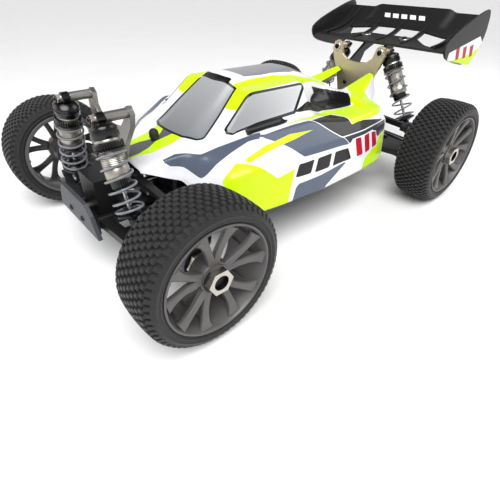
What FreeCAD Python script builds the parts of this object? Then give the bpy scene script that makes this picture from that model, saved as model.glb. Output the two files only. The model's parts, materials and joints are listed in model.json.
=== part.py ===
import FreeCAD, Part
import math
import os

# One-eighth scale four-wheel-drive off-road buggy, electric. Millimetres.
# Shapes are drawn from the point on the ground under the middle of the wheelbase,
# +X forward, +Y to the car's left, +Z up. save() then moves each one by ROW_SHIFT along X,
# so that the row's origin is under the centre of the whole car's box.

V = FreeCAD.Vector
Y, Z = V(0, 1, 0), V(0, 0, 1)

# ---- driving dimensions ----------------------------------------------------------------
WHEELBASE = 325.0
WHEEL_Y = 132.0               # wheel centre, from the car's middle plane
TYRE_R, TYRE_W = 55.0, 42.0
RIM_R = 40.0                  # bead seat
LIP_R = 41.6
WING_REAR = -291.0
ROW_SHIFT = -(WHEELBASE / 2 + TYRE_R + WING_REAR) / 2

AXLE_X = WHEELBASE / 2
AXLE_Z = TYRE_R
PLATE_BOTTOM, PLATE = 36.0, 3.0
PLATE_TOP = PLATE_BOTTOM + PLATE

# Suspension, drawn for the left side. Every link of a corner is this same vector, so the hub
# moves without turning: a true parallelogram.
ARM_Y, ARM_DROP = 76.0, 5.0
LOWER_IN = (22.0, 48.0)       # inner lower pin, y and z
UPPER_IN = (20.0, 76.0)       # inner upper pin
SHAFT_IN = (32.0, 60.0)       # inner driveshaft joint, also the height of the drive axis
TIE_IN = (32.0, 66.0)         # tie rod's inner pin
KING_Y = SHAFT_IN[0] + ARM_Y  # kingpin, and the outer driveshaft joint
TIE_ARM = 18.0                # steering arm, behind the kingpin

PIN_R = 2.0                   # lower pins
UPPER_PIN_R = 1.5
RUN = 0.08                    # radial running clearance
STUB_R = 4.0                  # stub axle in its bearings
HUB_BORE_R = 9.0              # room for the outer driveshaft joint in a hub
KNUCKLE_Y = (113.5, 126.0)
STUD_R = 1.6
ROD_EYE_R = 4.0               # tie rod's outer eye, open around the knuckle's stud
SHOCK_EYE_R = 2.9             # shock's lower eye, open around the arm's stud

# Shocks: x from the axle, upper and lower pivot (y, z), body length, cup place, from the top.
SHOCKS = {
    "f": {"x": 11.5, "top": (33.0, 132.0), "foot": (61.0, 52.0), "body": 50.0, "cup": 69.0},
    "r": {"x": -26.5, "top": (31.0, 141.0), "foot": (84.0, 53.0), "body": 58.0, "cup": 80.0},
}
SHOCK_BODY_R, SHOCK_CAP_R, COLLAR_R, SPRING_R, SPRING_WIRE = 7.5, 8.8, 10.4, 10.2, 0.9
SHOCK_ROD_R, SHOCK_BORE_R = 1.5, 5.5

DRIVE_R = 2.5                 # centre shaft
SPUR_TEETH, PINION_TEETH, MODULE = 46, 13, 0.8
GEAR_X, GEAR_W = -12.0, 6.0
MOTOR_R, MOTOR_LEN = 17.5, 60.0

SHELL = 1.3                   # body shell's wall
WING_HALF = 94.0
WING_THICK, WING_STEPS = 2.6, 8
CASE_HALF = 31.4              # half length of a gear case with its pin holders

CORNERS = {"fl": (1, 1), "fr": (1, -1), "rl": (-1, 1), "rr": (-1, -1)}


# ---- small helpers ---------------------------------------------------------------------
def box(x, y, z):
    """A block between two values on each axis."""
    return Part.makeBox(x[1] - x[0], y[1] - y[0], z[1] - z[0], V(x[0], y[0], z[0]))


def rod(r, a, b):
    """A cylinder of radius r from point a to point b."""
    a, b = V(*a), V(*b)
    return Part.makeCylinder(r, (b - a).Length, a, b - a)


def prism(points, along):
    """A closed outline pushed along a vector."""
    points = [V(*p) for p in points]
    return Part.Face(Part.makePolygon(points + points[:1])).extrude(along)


def turned(profile, centre, axis=Y):
    """A closed (radius, along) outline turned once round an axis through centre."""
    across = Z
    points = [across * r + axis * a + V(*centre) for r, a in profile]
    face = Part.Face(Part.makePolygon(points + points[:1]))
    return face.revolve(V(*centre), axis, 360)


def join(shapes):
    """One solid from several, with its flush faces merged where that leaves it valid."""
    solid = shapes[0].multiFuse(shapes[1:])
    merged = solid.removeSplitter()
    return merged if merged.isValid() else solid


def place(shape, side):
    """The left-hand shape, or its mirror image for the right."""
    return shape if side > 0 else shape.mirror(V(0, 0, 0), Y)


def save(node, *shapes):
    shape = shapes[0] if len(shapes) == 1 else Part.makeCompound(list(shapes))
    shape = shape.copy()
    shape.translate(V(ROW_SHIFT, 0, 0))
    for solid in shape.Solids:
        assert solid.isValid() and solid.Volume > 0, node
    shape.exportStep("parts/%s.step" % node)


def outer(inner):
    """The outer end of a suspension link whose inner end is given as y and z."""
    return inner[0] + ARM_Y, inner[1] - ARM_DROP


LOWER_OUT, UPPER_OUT = outer(LOWER_IN), outer(UPPER_IN)
TIE_OUT = outer(TIE_IN)


# ---- wheels ----------------------------------------------------------------------------
def tyre(x):
    """Hollow ring tyre: crowned tread, round shoulders, sidewalls down to two beads."""
    half = TYRE_W / 2
    side = [(TYRE_R, 0), (TYRE_R - 0.2, 10), (TYRE_R - 1.0, 16), (TYRE_R - 3.2, half - 1.2),
            (TYRE_R - 5.5, half), (TYRE_R - 10, half - 0.3), (RIM_R, half - 2.6),
            (RIM_R, half - 7), (RIM_R + 3.5, half - 7), (TYRE_R - 6, half - 4.5), (TYRE_R - 4, 10)]
    ring = side + [(r, -a) for r, a in reversed(side[1:])]
    return turned(ring, (x, WHEEL_Y, AXLE_Z))


def rim(x):
    """Dish wheel: barrel with two lips, hub with a hexagon socket, ten slim spokes in pairs."""
    c = (x, WHEEL_Y, AXLE_Z)
    half = TYRE_W / 2
    barrel = turned([(RIM_R, -half + 2.6), (LIP_R, -half + 2.4), (LIP_R, -half + 0.8),
                     (RIM_R - 2, -half + 0.8), (RIM_R - 2, half - 0.6), (LIP_R, half - 0.6),
                     (LIP_R, half - 2.4), (RIM_R, half - 2.6)], c)
    hub = turned([(STUB_R, 1), (13, 1), (12, 14), (STUB_R, 14)], c)
    pieces = [barrel, hub]
    for i in range(5):
        for lean in (-1, 1):
            spoke = prism([(x - 3.2, WHEEL_Y + 9, AXLE_Z + 8), (x + 3.2, WHEEL_Y + 9, AXLE_Z + 8),
                           (x + 2.0, WHEEL_Y + 15.5, AXLE_Z + RIM_R - 1),
                           (x - 2.0, WHEEL_Y + 15.5, AXLE_Z + RIM_R - 1)], V(0, 3.6, 0))
            spoke.rotate(V(*c), Y, 72 * i + 17 * lean)
            pieces.append(spoke)
    socket = hexagon(x, 17.2, WHEEL_Y - 1, WHEEL_Y + 6)
    return join(pieces).cut(socket)


def hexagon(x, flats, y0, y1):
    """A hexagonal bar along Y at a wheel's centre."""
    r = flats / math.sqrt(3)
    points = [(x + r * math.cos(math.radians(60 * i)), y0, AXLE_Z + r * math.sin(math.radians(60 * i)))
              for i in range(6)]
    return prism(points, V(0, y1 - y0, 0))


def axle(x):
    """Stub axle: cup for the driveshaft's ball, 17 mm hexagon drive and closed hexagon nut."""
    shaft = rod(STUB_R, (x, 110, AXLE_Z), (x, 150, AXLE_Z))
    cup = rod(7.5, (x, KING_Y - 3.2, AXLE_Z), (x, 112.6, AXLE_Z))
    hollow = rod(5.4, (x, KING_Y - 4, AXLE_Z), (x, KING_Y + 2.4, AXLE_Z)).fuse(
        Part.makeSphere(5.4, V(x, KING_Y - 0.5, AXLE_Z)))
    drive = hexagon(x, 17.0, KNUCKLE_Y[1] + 0.4, WHEEL_Y + 5.9)
    flange = rod(10.4, (x, WHEEL_Y + 14, AXLE_Z), (x, WHEEL_Y + 15.5, AXLE_Z))
    nut = hexagon(x, 17.0, WHEEL_Y + 14, WHEEL_Y + 21)
    mouth = rod(5.6, (x, WHEEL_Y + 18.2, AXLE_Z), (x, WHEEL_Y + 22, AXLE_Z))
    return join([shaft, cup, drive, flange, nut]).cut(hollow).cut(mouth)


# ---- suspension ------------------------------------------------------------------------
def between(a, b, x0, x1, t0, t1):
    """A bar in the y-z plane from point a to b, x0 to x1 wide, t0 thick at a and t1 at b."""
    dy, dz = b[0] - a[0], b[1] - a[1]
    n = math.hypot(dy, dz)
    ny, nz = -dz / n, dy / n
    points = [(x0, a[0] + ny * t0 / 2, a[1] + nz * t0 / 2), (x0, b[0] + ny * t1 / 2, b[1] + nz * t1 / 2),
              (x0, b[0] - ny * t1 / 2, b[1] - nz * t1 / 2), (x0, a[0] - ny * t0 / 2, a[1] - nz * t0 / 2)]
    return prism(points, V(x1 - x0, 0, 0))


def slab(a, b, plan, thick):
    """A plate along the link from a to b whose outline in plan is (x, share of length)."""
    dy, dz = b[0] - a[0], b[1] - a[1]
    n = math.hypot(dy, dz)
    up = V(0, -dz / n, dy / n)
    points = [V(x, a[0] + s * dy, a[1] + s * dz) - up * (thick / 2) for x, s in plan]
    return prism([tuple(p) for p in points], up * thick)


def lower_arm(x, end):
    """A-arm: inner barrel, two legs and cross web, outer ears with the hub's pin, shock stud."""
    a, b = LOWER_IN, LOWER_OUT
    wide, s = 27.5, SHOCKS[end]
    reach = abs(s["x"]) + 4.5
    foot = (s["foot"][0] - a[0]) / ARM_Y
    back = [(x - reach, 0.2), (x - reach, foot)] if end == "r" else [(x - 24, 0.5)]
    outline = [(x - wide, 0.02), (x - wide, 0.1)] + back + [
        (x - 14, 0.93), (x + 14, 0.93), (x + 24, 0.5), (x + wide, 0.02)]
    plate = slab(a, b, outline, 6.5)
    window = slab(a, b, [(x - 17, 0.08), (x - 13, 0.55), (x + 13, 0.55), (x + 17, 0.08)], 12)
    web = slab(a, b, [(x - 20, 0.3), (x - 20, 0.36), (x + 20, 0.36), (x + 20, 0.3)], 5)
    barrel = rod(4.0, (x - 27.8, *a), (x + 27.8, *a))
    bore = rod(PIN_R + RUN, (x - 30, *a), (x + 30, *a))
    ears = [between((b[0] - 7, b[1] + 0.4), b, x + k - 3, x + k + 3, 7, 8).fuse(
        rod(4.0, (x + k - 3, *b), (x + k + 3, *b))) for k in (-11.4, 11.4)]
    gap = box((x - 8.4, x + 8.4), (b[0] - 5.2, b[0] + 8), (b[1] - 9, b[1] + 9))
    pin = rod(PIN_R, (x - 14, *b), (x + 14, *b))
    arm = join([plate.cut(window), web, barrel] + ears).cut(gap).fuse(pin).cut(bore)
    arm = arm.cut(rod(6.6, (x + s["x"] - 4, *s["foot"]), (x + s["x"] + 4, *s["foot"])))
    return join([arm, shock_foot(x + s["x"], s["foot"], a, end)])


def shock_foot(x, foot, a, end):
    """Post on the arm that holds the shock's lower stud."""
    share = (foot[0] - a[0]) / ARM_Y
    base = a[1] - share * ARM_DROP
    side = -1 if end == "f" else 1
    x0 = x + side * 4.0
    post = prism([(x0, foot[0] - 5, base - 2), (x0, foot[0] + 5, base - 2),
                  (x0, foot[0] + 3, foot[1] + 3), (x0, foot[0] - 3, foot[1] + 3)], V(side * 3.2, 0, 0))
    stud = rod(PIN_R, (x0 + side, *foot), (x - side * 4.2, *foot))
    return post.fuse(stud)


def upper_arm_front():
    """Upper A-arm: narrow inner barrel behind the tower, leg, outer ears with the hub's pin."""
    a, b = UPPER_IN, UPPER_OUT
    x = AXLE_X
    barrel = rod(3.8, (x - 16, *a), (x - 9.6, *a))
    leg = slab(a, b, [(x - 16, 0.0), (x - 16, 0.72), (x - 10.4, 0.94), (x + 10.4, 0.94),
                      (x + 10.4, 0.86), (x - 8.4, 0.78), (x - 9.6, 0.7), (x - 9.6, 0.0)], 4.4)
    ears = [rod(3.8, (x + k - 2, *b), (x + k + 2, *b)).fuse(
        between((b[0] - 6, b[1] + 0.4), b, x + k - 2, x + k + 2, 5, 6)) for k in (-8.4, 8.4)]
    gap = box((x - 6.4, x + 6.4), (b[0] - 5.0, b[0] + 6), (b[1] - 8, b[1] + 8))
    pin = rod(UPPER_PIN_R, (x - 10.4, *b), (x + 10.4, *b))
    bore = rod(UPPER_PIN_R + RUN, (x - 20, *a), (x, *a))
    return join([barrel, leg] + ears).cut(gap).fuse(pin).cut(bore)


def upper_link_rear():
    """Rear camber link: an inner eye, a bar and an outer fork with the hub's pin."""
    a, b = UPPER_IN, UPPER_OUT
    x = -AXLE_X
    eye = rod(3.8, (x - 3, *a), (x + 3, *a))
    bar = slab(a, b, [(x - 3, 0.0), (x - 3, 0.87), (x - 10.4, 0.89), (x - 10.4, 0.97), (x + 10.4, 0.97),
                      (x + 10.4, 0.89), (x + 3, 0.87), (x + 3, 0.0)], 5.6)
    ears = [rod(3.8, (x + k - 2, *b), (x + k + 2, *b)) for k in (-8.4, 8.4)]
    gap = box((x - 6.4, x + 6.4), (b[0] - 5.0, b[0] + 6), (b[1] - 8, b[1] + 8))
    pin = rod(UPPER_PIN_R, (x - 10.4, *b), (x + 10.4, *b))
    bore = rod(UPPER_PIN_R + RUN, (x - 20, *a), (x + 20, *a))
    return join([eye, bar] + ears).cut(gap).fuse(pin).cut(bore)


def hub_barrels(x):
    """The barrels of a hub that run on the outer pins of the two arms."""
    low = rod(4.0, (x - 8, *LOWER_OUT), (x + 8, *LOWER_OUT))
    top = rod(3.8, (x - 6, *UPPER_OUT), (x + 6, *UPPER_OUT))
    bores = [rod(PIN_R + RUN, (x - 20, *LOWER_OUT), (x + 20, *LOWER_OUT)),
             rod(UPPER_PIN_R + RUN, (x - 20, *UPPER_OUT), (x + 20, *UPPER_OUT))]
    return [low, top], bores


def hub_web(x, y, thick):
    """Upright plate of a hub, narrow where the ears of the two arms pass beside it."""
    half = [(7.8, 40.5), (7.8, 48.3), (12, 50.5), (12, 57.6), (9.8, 58), (9.2, 61), (5.8, 65), (5.8, 73)]
    outline = [(x - w, y, z) for w, z in half] + [(x + w, y, z) for w, z in reversed(half)]
    return prism(outline, V(0, thick, 0))


def c_hub():
    """Front hub carrier: a web between the two barrels and two lugs that hold the kingpins."""
    x = AXLE_X
    barrels, bores = hub_barrels(x)
    web = hub_web(x, 97.4, 3.9)
    lugs = []
    for z0, z1 in ((38.4, 42.6), (68.0, 72.0)):
        lugs.append(box((x - 6, x + 6), (98, KING_Y), (z0, z1)))
        lugs.append(Part.makeCylinder(6, z1 - z0, V(x, KING_Y, z0)))
    holes = [rod(HUB_BORE_R + 0.2, (x, 90, AXLE_Z), (x, 103, AXLE_Z)),
             rod(2.5 + RUN, (x, KING_Y, 36), (x, KING_Y, 75))] + bores
    return join(barrels + [web] + lugs).cut(Part.makeCompound(holes))


def knuckle():
    """Steering knuckle: bearing ring, two kingpin blocks and the rear steering arm with its stud."""
    x = AXLE_X
    ring = rod(11, (x, KNUCKLE_Y[0], AXLE_Z), (x, KNUCKLE_Y[1], AXLE_Z))
    blocks = [box((x - 6, x + 6), (KING_Y - 3.2, 118), (63.4, 67.6)),
              box((x - 6, x + 6), (KING_Y - 3.2, 118), (42.9, 46.6))]
    kings = [rod(2.5, (x, KING_Y, 38.6), (x, KING_Y, 43.5)), rod(2.5, (x, KING_Y, 67), (x, KING_Y, 71.8))]
    tip = x - TIE_ARM
    plate = prism([(x - 6, 122, 54.0), (x - 6, 114.2, 54.0), (tip + 1, KING_Y - 3, 54.0),
                   (tip - 4.2, KING_Y - 2.5, 54.0), (tip - 4.2, KING_Y + 3.5, 54.0)], V(0, 0, 3.2))
    stud = rod(STUD_R, (tip, KING_Y, 56), (tip, KING_Y, TIE_OUT[1] + 3.4))
    bore = rod(STUB_R + RUN, (x, 105, AXLE_Z), (x, 130, AXLE_Z))
    return join([ring] + blocks + kings + [plate, stud]).cut(bore)


def rear_hub():
    """Rear hub: a block bored for the driveshaft joint, a bearing ring and two pin barrels."""
    x = -AXLE_X
    barrels, bores = hub_barrels(x)
    block = hub_web(x, 98, 18)
    ring = rod(11, (x, 112, AXLE_Z), (x, KNUCKLE_Y[1], AXLE_Z))
    holes = [rod(HUB_BORE_R, (x, 90, AXLE_Z), (x, 113.2, AXLE_Z)),
             rod(STUB_R + RUN, (x, 105, AXLE_Z), (x, 130, AXLE_Z))] + bores
    return join(barrels + [block, ring]).cut(Part.makeCompound(holes))


def driveshaft(x):
    """Dog-bone shaft: a round bar with a ball and a cross pin at each end."""
    ends = (SHAFT_IN, outer(SHAFT_IN))
    pieces = [rod(2.6, *[(x, *end) for end in ends])]
    for end in ends:
        pieces.append(Part.makeSphere(4.2, V(x, *end)))
        pieces.append(rod(1.4, (x - 4.6, *end), (x + 4.6, *end)))
    return join(pieces)


def along_shock(end, distance):
    """The (y, z) point at a distance down a shock from its upper pivot."""
    (y0, z0), (y1, z1) = SHOCKS[end]["top"], SHOCKS[end]["foot"]
    n = math.hypot(y1 - y0, z1 - z0)
    return y0 + (y1 - y0) * distance / n, z0 + (z1 - z0) * distance / n


def shock_length(end):
    (y0, z0), (y1, z1) = SHOCKS[end]["top"], SHOCKS[end]["foot"]
    return math.hypot(y1 - y0, z1 - z0)


def shock_part(end, r, s0, s1):
    """A cylinder on a shock's axis between two distances from its upper pivot."""
    x = (AXLE_X if end == "f" else -AXLE_X) + SHOCKS[end]["x"]
    return rod(r, (x, *along_shock(end, s0)), (x, *along_shock(end, s1)))


def shock_body(end):
    """Shock cylinder: upper eye, cap, threaded body with spring collar, open oil bore."""
    s = SHOCKS[end]
    x = (AXLE_X if end == "f" else -AXLE_X) + s["x"]
    eye = rod(4.4, (x - 3.2, *s["top"]), (x + 3.2, *s["top"]))
    cap = shock_part(end, SHOCK_CAP_R, 3.6, 14)
    body = shock_part(end, SHOCK_BODY_R, 13, s["body"])
    collar = shock_part(end, COLLAR_R, 16, 22)
    bore = shock_part(end, SHOCK_BORE_R, 19, s["body"] - 3)
    seal = shock_part(end, SHOCK_ROD_R + RUN, s["body"] - 5, s["body"] + 5)
    stud = rod(PIN_R + RUN, (x - 5, *s["top"]), (x + 5, *s["top"]))
    return join([eye, cap, body, collar]).cut(Part.makeCompound([bore, seal, stud]))


def shock_rod(end):
    """Piston, shaft, spring cup and lower eye, open around the arm's stud."""
    s = SHOCKS[end]
    x = (AXLE_X if end == "f" else -AXLE_X) + s["x"]
    n = shock_length(end)
    top = s["body"] - 14
    piston = shock_part(end, SHOCK_BORE_R - RUN, top, top + 3)
    shaft = shock_part(end, SHOCK_ROD_R, top, n - 4)
    cup = shock_part(end, 9.2, s["cup"], s["cup"] + 3)
    neck = shock_part(end, 3.4, s["cup"] + 2, n - 3)
    eye = rod(5.6, (x - 3.2, *s["foot"]), (x + 3.2, *s["foot"]))
    hole = rod(SHOCK_EYE_R, (x - 5, *s["foot"]), (x + 5, *s["foot"]))
    return join([piston, shaft, cup, neck, eye]).cut(hole)


def shock_spring(end):
    """Coil spring between the collar and the cup."""
    s = SHOCKS[end]
    x = (AXLE_X if end == "f" else -AXLE_X) + s["x"]
    s0, s1 = 22.0 + SPRING_WIRE + 0.1, s["cup"] - SPRING_WIRE - 0.1
    turns = 6.0
    helix = Part.makeLongHelix((s1 - s0) / turns, s1 - s0, SPRING_R)
    wire = Part.makeCircle(SPRING_WIRE, V(SPRING_R, 0, 0), Y)
    coil = Part.Wire(helix.Edges).makePipeShell([Part.Wire(wire)], True, True)
    (y0, z0), (y1, z1) = along_shock(end, s0), along_shock(end, s1)
    coil.Placement = FreeCAD.Placement(V(x, y0, z0), FreeCAD.Rotation(Z, V(0, y1 - y0, z1 - z0)))
    return coil


# ---- steering --------------------------------------------------------------------------
def steering_link():
    """Cross plate between the two bellcranks, with a fork at each end for a tie rod's eye."""
    x = AXLE_X - TIE_ARM
    y, z = TIE_IN
    pieces = [box((x - 4.4, x + 4.4), (-y + 6.5, y - 6.5), (z - 1.6, z + 1.6))]
    for side in (-1, 1):
        for k in (-3.5, 3.5):
            ys = sorted((side * (y - 8), side * (y + 2)))
            pieces.append(box((x + k - 0.9, x + k + 0.9), ys, (z - 2.6, z + 2.6)))
        pieces.append(rod(STUD_R, (x - 4.4, side * y, z), (x + 4.4, side * y, z)))
    return join(pieces)


def tie_rod():
    """Turnbuckle: an eye on the link's pin, a slim rod with a hexagon, an open outer eye."""
    x = AXLE_X - TIE_ARM
    a, b = TIE_IN, TIE_OUT
    inner = rod(3.6, (x - 2.3, *a), (x + 2.3, *a))
    shaft = rod(2.0, (x, a[0] + 2, a[1] - 0.13), (x, b[0] - 4.6, b[1] + 0.3))
    middle = rod(3.2, (x, 62, 64.03), (x, 74, 63.24))
    eye = rod(6.0, (x, b[0], b[1] - 2.5), (x, b[0], b[1] + 2.5))
    holes = [rod(STUD_R + RUN, (x - 4, *a), (x + 4, *a)),
             rod(ROD_EYE_R, (x, b[0], b[1] - 4), (x, b[0], b[1] + 4))]
    return join([inner, shaft, middle, eye]).cut(Part.makeCompound(holes))


# ---- structure -------------------------------------------------------------------------
def chassis_plate():
    """Main plate with narrow ends and four screw holes, open below."""
    half = [(193, 15), (128, 15), (118, 30), (104, 62), (60, 66), (-96, 66), (-112, 40), (-128, 15),
            (-193, 15)]
    outline = [(x, y, PLATE_BOTTOM) for x, y in half] + [(x, -y, PLATE_BOTTOM) for x, y in reversed(half)]
    plate = prism(outline, V(0, 0, PLATE))
    holes = [Part.makeCylinder(1.6, 8, V(x, y, PLATE_BOTTOM - 2)) for x in (-100, 100) for y in (-34, 34)]
    return plate.cut(Part.makeCompound(holes))


def side_guards():
    """Moulded guards that close the sides between the plate and the shell."""
    section = [(-84, 62, PLATE_TOP), (-84, 67, PLATE_TOP), (-84, 91, 49), (-84, 91, 52.5),
               (-84, 88.5, 52.5), (-84, 66, 42.4), (-84, 62, 42.4)]
    left = prism(section, V(180, 0, 0))
    front = prism([(112, 58, 30), (84, 100, 30), (112, 100, 30)], V(0, 0, 40))
    return [place(left.cut(front), side) for side in (1, -1)]


def front_bumper():
    """Bumper block with a broad lower edge, on a pad against the front pin holder."""
    front = AXLE_X + CASE_HALF
    half = [(40, 42), (32, 60), (24, 68)]
    outline = [(front + 0.9, y, z) for y, z in half] + [(front + 0.9, -y, z) for y, z in reversed(half)]
    block = prism(outline, V(3.4, 0, 0))
    pad = box((front, front + 1), (-22, 22), (PLATE_TOP + 1, 56))
    return join([block, pad])


def gear_case(end):
    """One gear case with its outdrive cups, pin holders, lower pins and centre shaft's socket."""
    x = end * AXLE_X
    z = SHAFT_IN[1]
    span = (x - 2.3, x + 22) if end > 0 else (x - 6, x + 22)
    pieces = [box(span, (-16, 16), (PLATE_TOP, 79)), rod(7.0, (x, -36, z), (x, 36, z)),
              box((x - CASE_HALF, x + CASE_HALF), (-9, 9), (PLATE_TOP, PLATE_TOP + 8))]
    for k in (-29.8, 29.8):
        pieces.append(box((x + k - 1.6, x + k + 1.6), (-27, 27), (PLATE_TOP, 53)))
    for side in (-1, 1):
        y = side * LOWER_IN[0]
        pieces.append(rod(PIN_R, (x - CASE_HALF, y, LOWER_IN[1]), (x + CASE_HALF, y, LOWER_IN[1])))
    if end < 0:
        pieces += upper_pins(x - 6, x + 6, 2.4)
    hollows = [rod(5.4, (x, k * 27.4, z), (x, k * 40, z)) for k in (-1, 1)]
    hollows.append(rod(DRIVE_R + RUN, (x - end * 40, 0, z), (x - end, 0, z)))
    return join(pieces).cut(Part.makeCompound(hollows))


def upper_pins(x0, x1, lug):
    """Lugs and pins that hold the inner ends of the two upper links."""
    y, z = UPPER_IN
    pieces = []
    for side in (-1, 1):
        pieces.append(rod(UPPER_PIN_R, (x0, side * y, z), (x1, side * y, z)))
        for a in (x0, x1 - lug):
            pieces.append(box((a, a + lug), sorted((side * 8, side * (y + 2.6))), (z - 3, z + 3)))
    return pieces


def top_plate():
    """Front upper plate on two posts, with the lugs and pins of the upper arms."""
    x1 = AXLE_X - 7.6
    plate = box((104, x1), (-11, 11), (73, 76))
    wings = box((106, 122), (-24, 24), (73, 76))
    posts = [Part.makeCylinder(4, 73.5 - PLATE_TOP, V(114, k * 19, PLATE_TOP)) for k in (-1, 1)]
    block = box((AXLE_X - 18.4, x1), (-13, 13), (73, 79))
    return join([plate, wings, block] + posts + upper_pins(AXLE_X - 18.4, x1, 1.8))


def gearbox_cases():
    """Front and rear gear cases, the front upper plate and the centre mounts."""
    return [gear_case(1), gear_case(-1), top_plate()] + centre_mounts()


def centre_mounts():
    """Two upright plates that carry the centre differential's shaft."""
    mounts = []
    for x in (-40.0, 4.0):
        plate = box((x - 2, x + 2), (-5, 12), (PLATE_TOP, 72))
        mounts.append(plate.cut(rod(DRIVE_R + RUN, (x - 4, 0, SHAFT_IN[1]), (x + 4, 0, SHAFT_IN[1]))))
    return mounts


def front_tower():
    """Front shock tower: a two-eared plate leaning back, with the shock studs."""
    x, lean = AXLE_X - 6.8, 6.0
    half = [(0, 70), (13, 70), (13.5, 82), (21, 94), (27, 108), (37, 122), (38.5, 132), (33, 137),
            (28, 134), (26.5, 125), (19, 118), (0, 116)]
    outline = [(x, y, z) for y, z in half] + [(x, -y, z) for y, z in reversed(half[1:-1])]
    plate = prism(outline, V(4, 0, 0))
    plate.rotate(V(x + 2, 0, 75), Y, -lean)
    studs = tower_studs(AXLE_X + SHOCKS["f"]["x"], x - 5.6, "f")
    return join([plate] + studs)


def rear_tower():
    """Rear shock tower: a V-shaped plate with two ears, with the shock studs."""
    x = -AXLE_X - 10.6
    half = [(0, 76), (13, 76), (22, 92), (27, 112), (34, 126), (38, 138), (36, 146), (31, 148.5),
            (26, 146), (22, 134), (14, 128), (0, 127)]
    outline = [(x, y, z) for y, z in half] + [(x, -y, z) for y, z in reversed(half[1:-1])]
    plate = prism(outline, V(4, 0, 0))
    brace = box((x, x + 4), (-12, 12), (72, 80))
    return join([plate, brace] + tower_studs(-AXLE_X + SHOCKS["r"]["x"], x + 1, "r"))


def tower_studs(x_shock, x_plate, end):
    """Studs that carry the upper shock eyes, with a shoulder between plate and eye."""
    y, z = SHOCKS[end]["top"]
    toward = 1 if x_shock > x_plate else -1
    pieces = []
    for side in (-1, 1):
        pieces.append(rod(PIN_R, (x_plate, side * y, z), (x_shock + toward * 4.4, side * y, z)))
        pieces.append(rod(3.6, (x_plate, side * y, z), (x_shock - toward * 3.6, side * y, z)))
    return pieces


def wing_mount():
    """Two stays from the rear tower up to the wing, with a cross bar."""
    pieces = []
    rest = [(x, z - WING_THICK) for x, z in (wing_line(i / WING_STEPS) for i in range(1, 5))]
    line = [(-173.2, 96), (-173.2, 124)] + rest + [(-238, 147), (-205, 134), (-184, 96)]
    for side in (-1, 1):
        y = 15.0 * side
        pieces.append(prism([(x, y - 2, z) for x, z in line], V(0, 4, 0)))
        pad = rest[1:4]
        under = [(x, z - 2.4) for x, z in reversed(pad)]
        pieces.append(prism([(x, side * 13, z) for x, z in pad + under], V(0, side * 21, 0)))
    pieces.append(box((-181, -177), (-16, 16), (100, 116)))
    return join(pieces)


def wing_line(t):
    """Height of the wing blade along its chord: flat at the front, curling up at the back."""
    x = -196.0 - 84.0 * t
    z = 148.0 + 4.0 * t + 27.0 * t ** 3
    return x, z


def rear_wing():
    """Wing: a curved blade between two end plates, with a rear lip."""
    top = [wing_line(i / WING_STEPS) for i in range(WING_STEPS + 1)]
    under = [(x, z - WING_THICK) for x, z in reversed(top)]
    blade = prism([(x, -WING_HALF, z) for x, z in top + under], V(0, 2 * WING_HALF, 0))
    plate = [(-191, 147), (-204, 137.5), (-267, 126), (-291, 153), (-285, 183), (-273, 186), (-193, 161)]
    ends = [prism([(x, y, z) for x, z in plate], V(0, 2.4, 0)) for y in (-WING_HALF - 2.2, WING_HALF - 0.2)]
    return join([blade] + ends)


def body_posts():
    """Front body post with its rubber cap, and the two rear posts."""
    front = join([Part.makeCylinder(3, 27, V(118, 0, 76)), Part.makeCylinder(5, 6, V(118, 0, 98.6))])
    rear = []
    for side in (-1, 1):
        rear.append(join([Part.makeCylinder(2.2, 16, V(-148, side * 12, 79)),
                          Part.makeCylinder(3.6, 4, V(-148, side * 12, 92))]))
    return [front] + rear


def gear(teeth, x, width, centre, turn):
    """Straight-toothed gear wheel along X with slack between the teeth."""
    r = MODULE * teeth / 2
    outer_r, root_r = r + 0.8 * MODULE, r - 1.1 * MODULE
    step = 2 * math.pi / teeth
    points = []
    for i in range(teeth):
        for offset, radius in ((-0.33, root_r), (-0.12, outer_r), (0.12, outer_r), (0.33, root_r)):
            a = turn + (i + offset) * step
            points.append((x, centre[0] + radius * math.cos(a), centre[1] + radius * math.sin(a)))
    return prism(points, V(width, 0, 0))


def pinion_centre():
    return -MODULE * (SPUR_TEETH + PINION_TEETH) / 2, SHAFT_IN[1]


def centre_driveline():
    """Centre shaft from gear case to gear case, centre differential and its spur gear."""
    z = SHAFT_IN[1]
    shaft = rod(DRIVE_R, (-AXLE_X + 3, 0, z), (AXLE_X - 3, 0, z))
    diff = rod(12, (-34, 0, z), (GEAR_X, 0, z))
    spur = gear(SPUR_TEETH, GEAR_X, GEAR_W, (0, z), 0)
    return join([shaft, diff, spur])


def motor():
    """Brushless can with its mount."""
    y, z = pinion_centre()
    can = rod(MOTOR_R, (GEAR_X - 4 - MOTOR_LEN, y, z), (GEAR_X - 4, y, z))
    can = can.cut(rod(1.7, (GEAR_X - 20, y, z), (GEAR_X, y, z)))
    diff_room = rod(13, (-60, 0, z), (0, 0, z))
    foot = box((GEAR_X - 60, GEAR_X - 10), (y - 14, y - 2), (PLATE_TOP, 50))
    return join([can, foot]).cut(diff_room).cut(rod(1.7, (GEAR_X - 20, y, z), (GEAR_X, y, z)))


def motor_pinion():
    """Small gear and motor shaft."""
    y, z = pinion_centre()
    half_step = math.pi / PINION_TEETH
    wheel = gear(PINION_TEETH, GEAR_X, GEAR_W, (y, z), half_step)
    return join([wheel, rod(1.62, (GEAR_X - 12, y, z), (GEAR_X + 1, y, z))])


def battery_pack():
    """Hard-case battery with rounded edges."""
    pack = box((-74, 66), (20, 60), (PLATE_TOP, 84))
    return pack.makeFillet(4, pack.Edges)


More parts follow.
